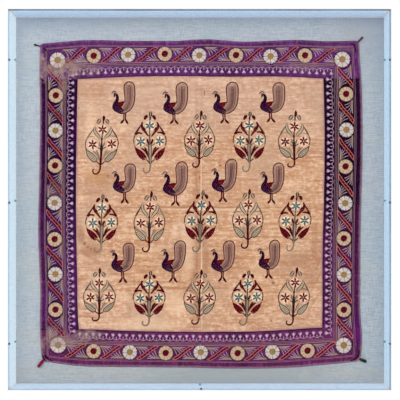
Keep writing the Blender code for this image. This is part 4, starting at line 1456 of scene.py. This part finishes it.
class EMBROIDERED_OT_roundels(StitchOperator):
    """Stitches the daisies and red-hearted discs of the border"""

    bl_idname = "embroidered.roundels"
    bl_label = "Border Roundels"

    PREFIX, RUBBED = "roundel", True
    THREADS = (
        ("petals", "white", "shell", "silk_field"),
        ("discs", "disc", "tan", "silk_field"),
        ("hearts_red", "maroon", "clot", "thread_crimson"),
        ("hearts_gold", "gold", "olive", "thread_olive"),
        ("rings", "ink", "night", "thread_brown"),
    )

    # Columns: spokes' group, reaches as shares of the radius, number, tones, height, then the heart's
    # group, its share of the radius and its tones.
    # Every fifth spoke of a daisy takes tone 0.9, the grey of the painted shadow between its petals.
    DAISY = (
        "petals", (0.95, 1.02, 1.0, 0.98, 1.02), 40, (0.9, 0.1, 0.0, 0.25, 0.0), 1.0,
        "hearts_gold", 0.40, (0.9, 0.1, 0.0),
    )
    DISC = ("discs", (1.0,), 32, (0.1, 0.45, 0.0, 0.2, 0.6, 0.0), 0.9, "hearts_red", 0.45, (0.45, 0.1))
    SPOKE_ROOT, SPOKE_OVERLAP = 0.36, 1.32
    HEART_ROW, HEART_PITCH, HEART_H = 0.0031, 0.0021, 1.3
    COIL_END, COIL_POINTS = 0.93, 120
    RING_W = {"top": 0.0018, "right": 0.0030, "bottom": 0.0018, "left": 0.0030}
    RING_GAP, RING_SHIFT, RING_SWEEP, RING_POINTS = 0.0002, 0.0006, 0.97, 73

    def sew(self, rows):
        for side, places in ROUNDELS.items():
            for n, place in enumerate(places):
                centre = np.array(place) * MM
                radius = CORNER_DAISY_R if n == 0 else ROUNDEL_R
                self.ring(rows["rings"], centre, radius, side)
                group, *spokes, heart, share, tones = self.DISC if n % 2 else self.DAISY
                self.spokes(rows[group], centre, radius, *spokes)
                self.heart(rows[heart], centre, radius * share, tones)

    def ring(self, rings, centre, radius, side):
        """A dark ring that stands a little off the disc and isn't quite closed."""
        start = rng.uniform(0, 1)
        shift = rng.uniform(-self.RING_SHIFT, self.RING_SHIFT, 2)
        wide = self.RING_W[side]
        reach = radius + wide / 2 + self.RING_GAP
        path = ring_path(centre + shift, reach, self.RING_POINTS, start, self.RING_SWEEP)
        rings.row(path, wide, rng.uniform(0, 0.6), 0.9)

    def spokes(self, rows, centre, radius, reaches, count, tones, height):
        """Stitches that run out from the heart, each as wide as its share of the round."""
        start = rng.uniform(0, 1)
        inner, width = radius * self.SPOKE_ROOT, 2 * math.pi / count * self.SPOKE_OVERLAP
        for n in range(count):
            reach = radius * reaches[n % len(reaches)]
            path = spoke(centre, 2 * math.pi * (n + start) / count, inner, reach)
            tone = tones[n % len(tones)] + rng.uniform(-0.1, 0.1)
            rows.row(path, (inner * width, reach * width), tone, height)

    def heart(self, hearts, centre, radius, tones):
        """A coil of stitches from the rim to the middle: its radius falls evenly with its turn."""
        share = np.linspace(0, self.COIL_END, self.COIL_POINTS)
        path = polar(centre, radius * (1 - share), 2 * math.pi * share * radius / self.HEART_PITCH)
        hearts.row(path, self.HEART_ROW, tones, self.HEART_H)


# One band: how far it keeps from the middles of its two roundels, its share past the inner and the outer
# line, points along it, half its width, and the share of its length in which it fills out
BAND_KEEP = (0.0170, 0.0150)
BAND_PAST = (0.008, 0.012)
BAND_POINTS = 60
BAND_HALF = 0.0032
BAND_TAPER = 0.16

# Widths of its rows, then of the dashes the number, where the first and last one lie as shares of the
# band's length, and half their length and slant
EDGE_W, GROUND_W, DASH_W = 0.0015, 0.0054, 0.0050
DASHES_A_BAND, DASH_FIRST, DASH_LAST = 7, 0.13, 0.86
DASH_HALF, DASH_SLANT = 0.041, 0.0009


class EMBROIDERED_OT_bands(StitchOperator):
    """Stitches the slanting bands and fans between the roundels"""

    bl_idname = "embroidered.bands"
    bl_label = "Slanting Bands and Fans"

    PREFIX, RUBBED = "band", True
    THREADS = (
        ("edges", "salmon", "rust", "thread_crimson"),
        ("grounds", "rust", "salmon", "thread_crimson"),
        ("dashes", "clot", "wine", "thread_crimson"),
        ("fans", "tan", "pearl", "silk_field"),
    )

    # Columns: charted tips, widths from root to tip, tones from root to tip.
    RAYS = (
        (FAN, (0.0014, 0.0018, 0.0018, 0.0019, 0.0015), (0.0, 0.1, 0.45, 0.9, 1.0)),
        (FAN_WEB, (0.0030, 0.0036, 0.0016), (0.0, 0.0, 0.2)),
    )
    RAY_BEND = (0.72, 0.14)

    def sew(self, rows):
        sides = list(ROUNDELS)
        for side, following in zip(sides, sides[1:] + sides[:1]):
            runs = [run_of(side, place) * MM for place in (*ROUNDELS[side], ROUNDELS[following][0])]
            for start, end in zip(runs, runs[1:]):
                self.band(rows, side, start, end)
                self.fan(rows["fans"], side, start, 1, BAND_OUTER[side])
                self.fan(rows["fans"], side, end, -1, BAND_INNER[side])

    def band(self, rows, side, start, end):
        """One S-shaped band: it leaves the inner line beside one roundel and joins the outer line
        beside the next. Its share across eases in and out while its run goes on evenly."""
        t = np.linspace(0, 1, BAND_POINTS)
        run = (start + BAND_KEEP[0]) * (1 - t) + (end - BAND_KEEP[1]) * t
        low, high = BAND_INNER[side] - BAND_PAST[0], BAND_OUTER[side] + BAND_PAST[1]
        centre = border_place(side, run, low + (high - low) * smooth(t))
        aside = beside(centre)
        taper = smooth(np.minimum(t, 1 - t) / BAND_TAPER)[:, None]
        for sign in (-1, 1):
            tone = BAND_RED[side] - 0.1 + rng.uniform(-0.1, 0.15)
            rows["edges"].row(centre + aside * sign * BAND_HALF * taper, EDGE_W, tone, 1.8)
        rows["grounds"].row(centre[3:-4], GROUND_W, rng.uniform(-0.05, 0.2), 0.45)
        last = BAND_POINTS - 1
        middles = np.linspace(DASH_FIRST, DASH_LAST, DASHES_A_BAND)
        for middle in middles + rng.uniform(-0.006, 0.006, DASHES_A_BAND):
            at = np.linspace(middle - DASH_HALF, middle + DASH_HALF, 5) * last
            piece = np.stack([np.interp(at, np.arange(BAND_POINTS), line) for line in centre.T], axis=1)
            piece += aside[int(middle * last)] * np.linspace(-DASH_SLANT, DASH_SLANT, 5)[:, None]
            rows["dashes"].row(piece, DASH_W, rng.uniform(0.4, 0.9), 2.4, 0.0044, 0.9)

    def fan(self, fans, side, run, way, share):
        """Five curved rays from an apex beside a roundel, tan at the root and pale at the tip, and three
        short ones that fill the root."""
        inward = 1 if share < 0.4 else -1
        root = np.array(FAN_ROOT) * MM
        t = np.linspace(0, 1, 20)[:, None]
        for tips, widths, tones in self.RAYS:
            for tip in np.array(tips) * MM:
                tip = tip * rng.uniform(0.96, 1.04, 2)
                bend = root + (tip - root) * self.RAY_BEND
                ray = root * (1 - t) ** 2 + 2 * bend * t * (1 - t) + tip * t * t
                path = border_place(side, run + way * ray[:, 0], share + inward * ray[:, 1] / (PARTS * PART))
                fans.row(path, widths, tones, rng.uniform(0.8, 1.0), 0.007)


# Rows along the border. Columns: group, parts in from the hem's edge at the top, right, bottom and left
# or None for no row, width in mm, tone, height.
LINES = (
    ("dusk", (None, 0.8, 1.0, 0.6), 2.0, 0.2, 0.7),
    ("dusk", (5.3, 6.3, 6.0, 6.0), 1.7, 0.1, 1.0),
    ("dusk", (6.2, 7.7, 7.2, 7.0), 1.4, 0.1, 1.0),
    ("dusk", (22.7, 23.4, 22.9, 23.0), 3.0, 0.1, 1.0),
    ("dusk", (25.9, 26.6, 25.8, 25.8), 1.5, 0.1, 1.0),
    ("ink", (7.0, 8.5, 8.0, 7.8), 1.4, 0.2, 0.8),
    ("dusk", (24.4, 25.0, 24.4, 24.6), 2.2, 0.6, 0.5),
    ("ink", (36.8, 36.8, 36.5, 36.8), 1.8, 0.4, 0.8),
)

# Painted shade of the creases where the hems are gathered at the corners, sewn as dark rows of ink thread,
# each as x and z of its points, in mm
GATHER_SHADE_ROWS = (
    ((-379, -359.6), (-374.6, -373.6), (-365.6, -383.3), (-353.6, -388.8)),
    ((-381.5, -368), (-376.8, -383), (-370, -389.5)),
    ((360.8, -388), (374.9, -383), (382.4, -373.6), (386.7, -362)),
    ((369.3, 379.2), (373.4, 371.9), (375.8, 358)),
    ((-380, 369), (-374.5, 365.5), (-368.5, 358.5)),
)

# Pitch of the bud row on each side, in parts, how far its first and last bud stand from the row's corners,
# in mm, and how many parts further in the whole row lies
BUD_PITCH = {"top": 7.27, "right": 7.1, "bottom": 6.75, "left": 7.6}
BUD_ENDS = {"top": (7, -9), "right": (12, -3.6), "bottom": (14.8, 12), "left": (4.8, 1)}
BUD_DEPTH = {"top": -0.2, "right": 0.8, "bottom": 0.0, "left": 0.3}

# The row of buds, in parts in from the hem's edge: where the arches are measured, where the row's corners
# are, the arches' foot and rise, the stems' and the stubs' two ends, the lobes' root, and the tips of the
# side lobes and of the middle one
ARCH_LINE, BUD_LINE = 28, 33
ARCH_FOOT, ARCH_RISE = 30.2, 2.8
STEM_ENDS, STUB_ENDS = (28.2, 31.2), (27.8, 30.8)
LOBE_ROOT = 30.2
LOBES = ((-1.7, 33.4), (0.0, 34.2), (1.7, 33.4))


class EMBROIDERED_OT_lines(StitchOperator):
    """Stitches the lines and the row of buds along the border"""

    bl_idname = "embroidered.lines"
    bl_label = "Border Lines and Buds"

    PREFIX, RUBBED = "border", True
    THREADS = (
        ("dusk", "dusk", "tan", "silk_border_level"),
        ("ink", "ink", "night", "silk_border_upright"),
        ("buds", "lilac", "dusk", "silk_field"),
        ("arches", "dusk", "lilac", "silk_field"),
    )

    # Long lines: points, length of a stitch, and how fast and how far their tone wavers.
    POINTS, LINE_STITCH, WAVER, WAVER_TONE = 260, 0.0046, 31, 0.25

    # Rows of the buds: width, or widths from foot to tip.
    ARCH_W, STEM_W = 0.0016, (0.0022, 0.0016)
    LOBE_W, STUB_W = (0.0018, 0.0032, 0.0026), (0.0022, 0.0030, 0.0022)
    ARCH_POINTS, ARCH_ROUND = 500, 0.55

    def sew(self, rows):
        for n, side in enumerate(ROUNDELS):
            for group, places, width, tone, height in LINES:
                if places[n] is None:
                    continue
                share = places[n] / PARTS
                run = np.linspace(*side_run(side, share), self.POINTS)
                tones = tone + self.WAVER_TONE * np.sin(run * self.WAVER + places[n])
                path = border_place(side, run, share)
                rows[group].row(path, width * MM, tones, height, self.LINE_STITCH)
            self.buds(rows, side)
        # Dark ink rows paint the shade in the gathered creases at the corners.
        for fold in GATHER_SHADE_ROWS:
            rows["ink"].stroke(flow(np.array(fold) * MM), (1.6, 4.0, 3.8, 1.6), 2, 0.1, 0.2, 0.9)

    def buds(self, rows, side):
        """Scalloped arches with a stub under each, and a stem with a three-lobed bud between them."""
        start, end = side_run(side, ARCH_LINE / PARTS)
        first, last = side_run(side, BUD_LINE / PARTS)
        first, last = first + BUD_ENDS[side][0] * MM, last - BUD_ENDS[side][1] * MM
        count = int(round((last - first) / (BUD_PITCH[side] * PART))) + 1
        places = np.linspace(first, last, count)
        pitch = places[1] - places[0]
        run = np.linspace(max(start, first - pitch / 2), min(end, last + pitch / 2), self.ARCH_POINTS)
        wave = np.abs(np.sin(math.pi * (run - first) / pitch)) ** self.ARCH_ROUND
        deep = BUD_DEPTH[side]
        arch = border_place(side, run, (ARCH_FOOT + deep - ARCH_RISE * wave) / PARTS)
        rows["arches"].row(arch, self.ARCH_W, 0.6, 1.0, 0.0036)
        t = np.linspace(0, 1, 6)
        for place in places:
            part = deep + rng.uniform(-0.25, 0.25)
            stem = border_place(side, np.full(6, place), (np.linspace(*STEM_ENDS, 6) + part) / PARTS)
            rows["arches"].row(stem, self.STEM_W, 0.5, 1.0)
            for lean, reach in LOBES:
                across = place + lean * PART * (0.2 * t + 0.8 * t * t)
                lobe = border_place(side, across, (LOBE_ROOT + part + (reach - LOBE_ROOT) * t) / PARTS)
                rows["buds"].row(lobe, self.LOBE_W, rng.uniform(0, 0.3), 1.3)
        for place in places[:-1] + pitch / 2:
            stub = border_place(side, np.full(5, place), (np.linspace(*STUB_ENDS, 5) + deep) / PARTS)
            rows["buds"].row(stub, self.STUB_W, rng.uniform(0.35, 0.65), 1.1, 0.005)


# Ties at the corners. Columns: name, corner's x and z signs, x and z of the tip in mm, widest radius in mm,
# the radius from root to tip as six even shares of the widest, main and second colour, slot.
TIES = (
    (
        "tie_top_left", -1, 1, -400.5, 376.5, 2.8, (0.70, 0.62, 0.55, 0.62, 1.0, 0.7),
        (48, 30, 50), (96, 66, 84), "thread_brown",
    ),
    (
        "tie_top_right", 1, 1, 393.5, 394.5, 2.7, (0.9, 0.9, 0.85, 0.9, 1.0, 0.8),
        (84, 34, 66), (130, 74, 100), "thread_brown",
    ),
    (
        "tassel_bottom_left", -1, -1, -390.8, -402.0, 3.9, (0.8, 1.0, 1.0, 1.0, 1.0, 0.85),
        (118, 6, 44), (156, 28, 70), "thread_crimson",
    ),
    (
        "tie_bottom_right", 1, -1, 401.7, -389.6, 4.0, (0.7, 0.95, 1.0, 1.0, 0.95, 0.7),
        (30, 34, 34), (92, 96, 94), "thread_olive",
    ),
)


class EMBROIDERED_OT_ties(PanelOperator):
    """Makes the knotted ties and the tassel at the cloth's corners"""

    bl_idname = "embroidered.ties"
    bl_label = "Corner Ties"

    RINGS, SIDES, STRANDS = 40, 6, 7

    # Columns: how far out a strand's middle lies and how thick it is, as shares of the tie's radius.
    HEART, ROUND = (0.0, 0.42), (0.62, 0.36)
    TURNS, STITCHES = 1.1, 9

    # How far a tie starts inside the cloth's corner, where its middle rests as a share of its radius, and
    # how flat the bundle and each strand are
    START = 0.0015
    REST, FLAT, FLAT_STRAND = 0.72, 0.75, 0.8

    def build(self, scene):
        for name, *shape, main, second, slot in TIES:
            self.tie(name, *shape, thread_finish(name, tint(*main), tint(*second)), slot)

    def tie(self, name, side_x, side_z, tip_x, tip_z, widest, outline, material, slot):
        """A bundle of twisted strands: each strand is a tube round a helix whose radius follows the
        tie's outline."""
        corner_x = edge_x(side_x, side_z * (CLOTH_H / 2 - CORNER_EASE))
        corner_z = edge_z(side_z, side_x * (CLOTH_W / 2 - CORNER_EASE))
        centre = np.array((corner_x - side_x * CORNER_R, corner_z - side_z * CORNER_R), float)
        tip = np.array((tip_x, tip_z)) * MM
        way = (tip - centre) / np.hypot(*(tip - centre))
        aside = np.array((-way[1], way[0]))
        root = centre + way * (CORNER_R - self.START)
        radius = widest * MM
        s = np.linspace(0, 1, self.RINGS)
        reach = through(np.linspace(0, 1, len(outline)), radius * np.array(outline), s)
        flat = root + way * (s * np.hypot(*(tip - root)))[:, None]
        around = 2 * math.pi * np.arange(self.SIDES) / self.SIDES
        uv = np.stack(np.broadcast_arrays(s[:, None] * self.STITCHES, np.cos(around)), axis=-1).reshape(-1, 2)
        points, tones = [], []
        for strand in range(self.STRANDS):
            off, thick = self.ROUND if strand else self.HEART
            turn = 2 * math.pi * (strand / (self.STRANDS - 1) + self.TURNS * s)
            out_a, out_b = off * reach * np.cos(turn), off * reach * np.sin(turn) * self.FLAT
            middle = flat + aside * out_a[:, None]
            depth = -(BOARD_T + JOINT + radius * self.REST) - out_b
            across = (reach * thick)[:, None] * np.cos(around)
            up = (reach * thick)[:, None] * np.sin(around) * self.FLAT_STRAND
            x = middle[:, 0, None] + aside[0] * across
            z = middle[:, 1, None] + aside[1] * across
            points.append(np.stack((x, depth[:, None] - up, z), axis=-1).reshape(-1, 3))
            tones.append(np.full(x.size, rng.uniform(0, 1)))
        points = np.concatenate(points)
        index = np.arange(len(points)).reshape(self.STRANDS, self.RINGS, self.SIDES)
        caps = np.concatenate((index[:, 0], index[:, -1, ::-1]))
        faces = [np.concatenate([skin(rings) for rings in index]), caps]
        uv, tone = np.tile(uv, (self.STRANDS, 1)), np.concatenate(tones)
        add_piece(f"corner_{name}", points, faces, material, slot, [name], uv, tone)


class EMBROIDERED_OT_screws(PanelOperator):
    """Makes the seven domed screws"""

    bl_idname = "embroidered.screws"
    bl_label = "Screws"

    SIDES = 32

    # Columns: share of the length from the point, radius in mm. The last three are the recess.
    OUTLINE = np.array((
        (0.0, 0.0), (0.0, 0.6), (0.13, 1.7), (0.885, 1.7), (0.885, 3.35), (0.93, 3.3), (0.965, 2.9),
        (0.99, 2.0), (0.985, 1.3), (0.985, 0.7), (0.985, 0.0),
    ))
    RECESS_DEPTH, RECESS_SHARES, MIDDLE_DEPTH = 0.0011, (0.6, 1.0, 1.0), 0.0004
    ARM, ARM_EDGE = 0.75, 0.2
    WAYS = {"left": (-1.0, 0.0, 0.0), "right": (1.0, 0.0, 0.0), "bottom": (0.0, 0.0, -1.0)}

    def build(self, scene):
        steel = Finish("screw_steel", roughness=0.35, specular=0.5, metallic=1.0)
        brushed = steel.noise(900, 2.0)
        colour = scene.case_finish.steel
        steel.colour(steel.mix(steel.ease(brushed, 0.4, 0.7), colour, dimmed(colour, 0.7)))
        steel.bump(brushed, 0.15, 0.0001)
        nodes = [f"screw_{side}_{n}" for side in ("left", "right") for n in (1, 2, 3)] + ["screw_bottom"]
        points = np.concatenate([self.screw(node) for node in nodes])
        index = np.arange(len(points)).reshape(len(nodes), len(self.OUTLINE), self.SIDES)
        faces = [np.roll(np.concatenate([skin(rings) for rings in index])[:, ::-1], 1, axis=1)]
        add_piece("wall_screws", points, faces, steel.material, "screw_steel", nodes)

    def screw(self, node):
        """A turned outline of head and shank, with a cross-shaped recess pressed into the dome."""
        low, high = (np.array(corner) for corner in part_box(node))
        out = np.array(self.WAYS[node.split("_")[1]])
        half = abs(np.dot(high - low, out)) / 2
        tip = (low + high) / 2 - out * half
        turn = 2 * math.pi * np.arange(self.SIDES) / self.SIDES
        along = self.OUTLINE[:, 0, None] * (2 * half) + 0 * turn[None, :]
        r = self.OUTLINE[:, 1, None] * MM + 0 * turn[None, :]
        cross = smooth((np.abs(np.cos(2 * turn)) - self.ARM) / self.ARM_EDGE)
        along[-3:] -= self.RECESS_DEPTH * cross[None, :] * np.array(self.RECESS_SHARES)[:, None]
        along[-1] = along[-2].mean() - self.MIDDLE_DEPTH
        up = np.array((0.0, 1.0, 0.0))
        across = np.cross(up, out)
        ring = tip + out * along[..., None]
        ring = ring + across * (r * np.cos(turn))[..., None] + up * (r * np.sin(turn))[..., None]
        return ring.reshape(-1, 3)


class EMBROIDERED_OT_stage(PanelOperator):
    """Sets the floor, the lights and the camera"""

    bl_idname = "embroidered.stage"
    bl_label = "Stage"

    # Columns: name, place, size, setting that holds its power.
    LAMPS = (("key_light", (-1.7, -2.2, 1.5), 1.3, "key"), ("fill_light", (1.9, -2.4, 0.3), 1.6, "fill"))
    FLOOR_RINGS, FLOOR_SIDES, FLOOR_R = 4, 48, 3.2

    def build(self, scene):
        light = scene.studio_light
        scene.view_settings.view_transform = "Standard"
        world = bpy.data.worlds.new("white_studio")
        world.use_nodes = True
        surround = world.node_tree.nodes["Background"]
        surround.inputs[0].default_value = (1.0, 1.0, 1.0, 1.0)
        surround.inputs[1].default_value = light.surround
        scene.world = world
        for name, place, size, setting in self.LAMPS:
            self.lamp(name, place, size, getattr(light, setting))
        self.floor()
        camera = bpy.data.cameras.new("photo_camera")
        camera.lens, camera.sensor_width = CAMERA_LENS, CAMERA_SENSOR
        camera.shift_x, camera.shift_y = CAMERA_SHIFT
        seen = bpy.data.objects.new("photo_camera", camera)
        seen.location = CAMERA_PLACE
        seen.rotation_euler = (math.pi / 2, 0.0, 0.0)
        scene.collection.objects.link(seen)
        scene.camera = seen

    def lamp(self, name, place, size, power):
        """A square soft light that looks at the panel's middle."""
        lamp = bpy.data.lights.new(name, "AREA")
        lamp.energy, lamp.size = power, size
        holder = bpy.data.objects.new(name, lamp)
        way = np.array(place)
        flat = math.hypot(way[0], way[1])
        holder.location = place
        holder.rotation_euler = (math.atan2(flat, way[2]), 0.0, math.atan2(way[0], -way[1]))
        bpy.context.scene.collection.objects.link(holder)

    def floor(self):
        """A round pale floor: rings of points, with a centre that closes them."""
        turn = 2 * math.pi * np.arange(self.FLOOR_SIDES) / self.FLOOR_SIDES
        r = self.FLOOR_R * (np.arange(self.FLOOR_RINGS) + 1) / self.FLOOR_RINGS
        x, y = r[:, None] * np.cos(turn), r[:, None] * np.sin(turn)
        points = np.stack((x, y, np.full_like(x, FLOOR_Z)), axis=-1).reshape(-1, 3)
        points = np.concatenate((points, [(0.0, 0.0, FLOOR_Z)]))
        index = np.arange(x.size).reshape(x.shape)
        fan = np.stack((index[0], np.roll(index[0], -1), np.full(self.FLOOR_SIDES, x.size)), axis=-1)
        mesh = bpy.data.meshes.new("stage_floor")
        mesh.from_pydata(points.tolist(), [], skin(index).tolist() + fan.tolist())
        pale = Finish("pale_floor", roughness=0.9, specular=0.1)
        grain = pale.ease(pale.noise(3, 2.0), 0.3, 0.7)
        mesh.materials.append(pale.colour(pale.mix(grain, (0.82, 0.82, 0.81), (0.86, 0.86, 0.85))))
        floor = bpy.data.objects.new("stage_floor", mesh)
        bpy.context.scene.collection.objects.link(floor)


class EMBROIDERED_PT_sidebar(bpy.types.Panel):
    """Lists the panel's pieces and their settings"""

    bl_label = "Embroidered Panel"
    bl_idname = "EMBROIDERED_PT_sidebar"
    bl_space_type = "VIEW_3D"
    bl_region_type = "UI"
    bl_category = "Panel"

    def draw(self, context):
        for operator in OPERATORS:
            self.layout.operator(operator.bl_idname)
        for name, group in GROUPS:
            box = self.layout.box()
            values = getattr(context.scene, name)
            for prop in group.__annotations__:
                box.prop(values, prop)


GROUPS = (
    ("case_finish", CaseFinish), ("cloth_finish", ClothFinish), ("thread_colours", ThreadColours),
    ("studio_light", StudioLight),
)
OPERATORS = (
    EMBROIDERED_OT_case, EMBROIDERED_OT_board, EMBROIDERED_OT_cloth, EMBROIDERED_OT_peacocks,
    EMBROIDERED_OT_plants, EMBROIDERED_OT_roundels, EMBROIDERED_OT_bands, EMBROIDERED_OT_lines,
    EMBROIDERED_OT_ties, EMBROIDERED_OT_screws, EMBROIDERED_OT_stage,
)


def register():
    for name, group in GROUPS:
        bpy.utils.register_class(group)
        setattr(bpy.types.Scene, name, PointerProperty(type=group))
    for operator in OPERATORS:
        bpy.utils.register_class(operator)
    bpy.utils.register_class(EMBROIDERED_PT_sidebar)


def unregister():
    bpy.utils.unregister_class(EMBROIDERED_PT_sidebar)
    for operator in reversed(OPERATORS):
        bpy.utils.unregister_class(operator)
    for name, group in reversed(GROUPS):
        delattr(bpy.types.Scene, name)
        bpy.utils.unregister_class(group)


def main():
    register()
    for operator in OPERATORS:
        group, name = operator.bl_idname.split(".")
        getattr(getattr(bpy.ops, group), name)()
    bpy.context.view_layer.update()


if __name__ == "__main__":
    main()
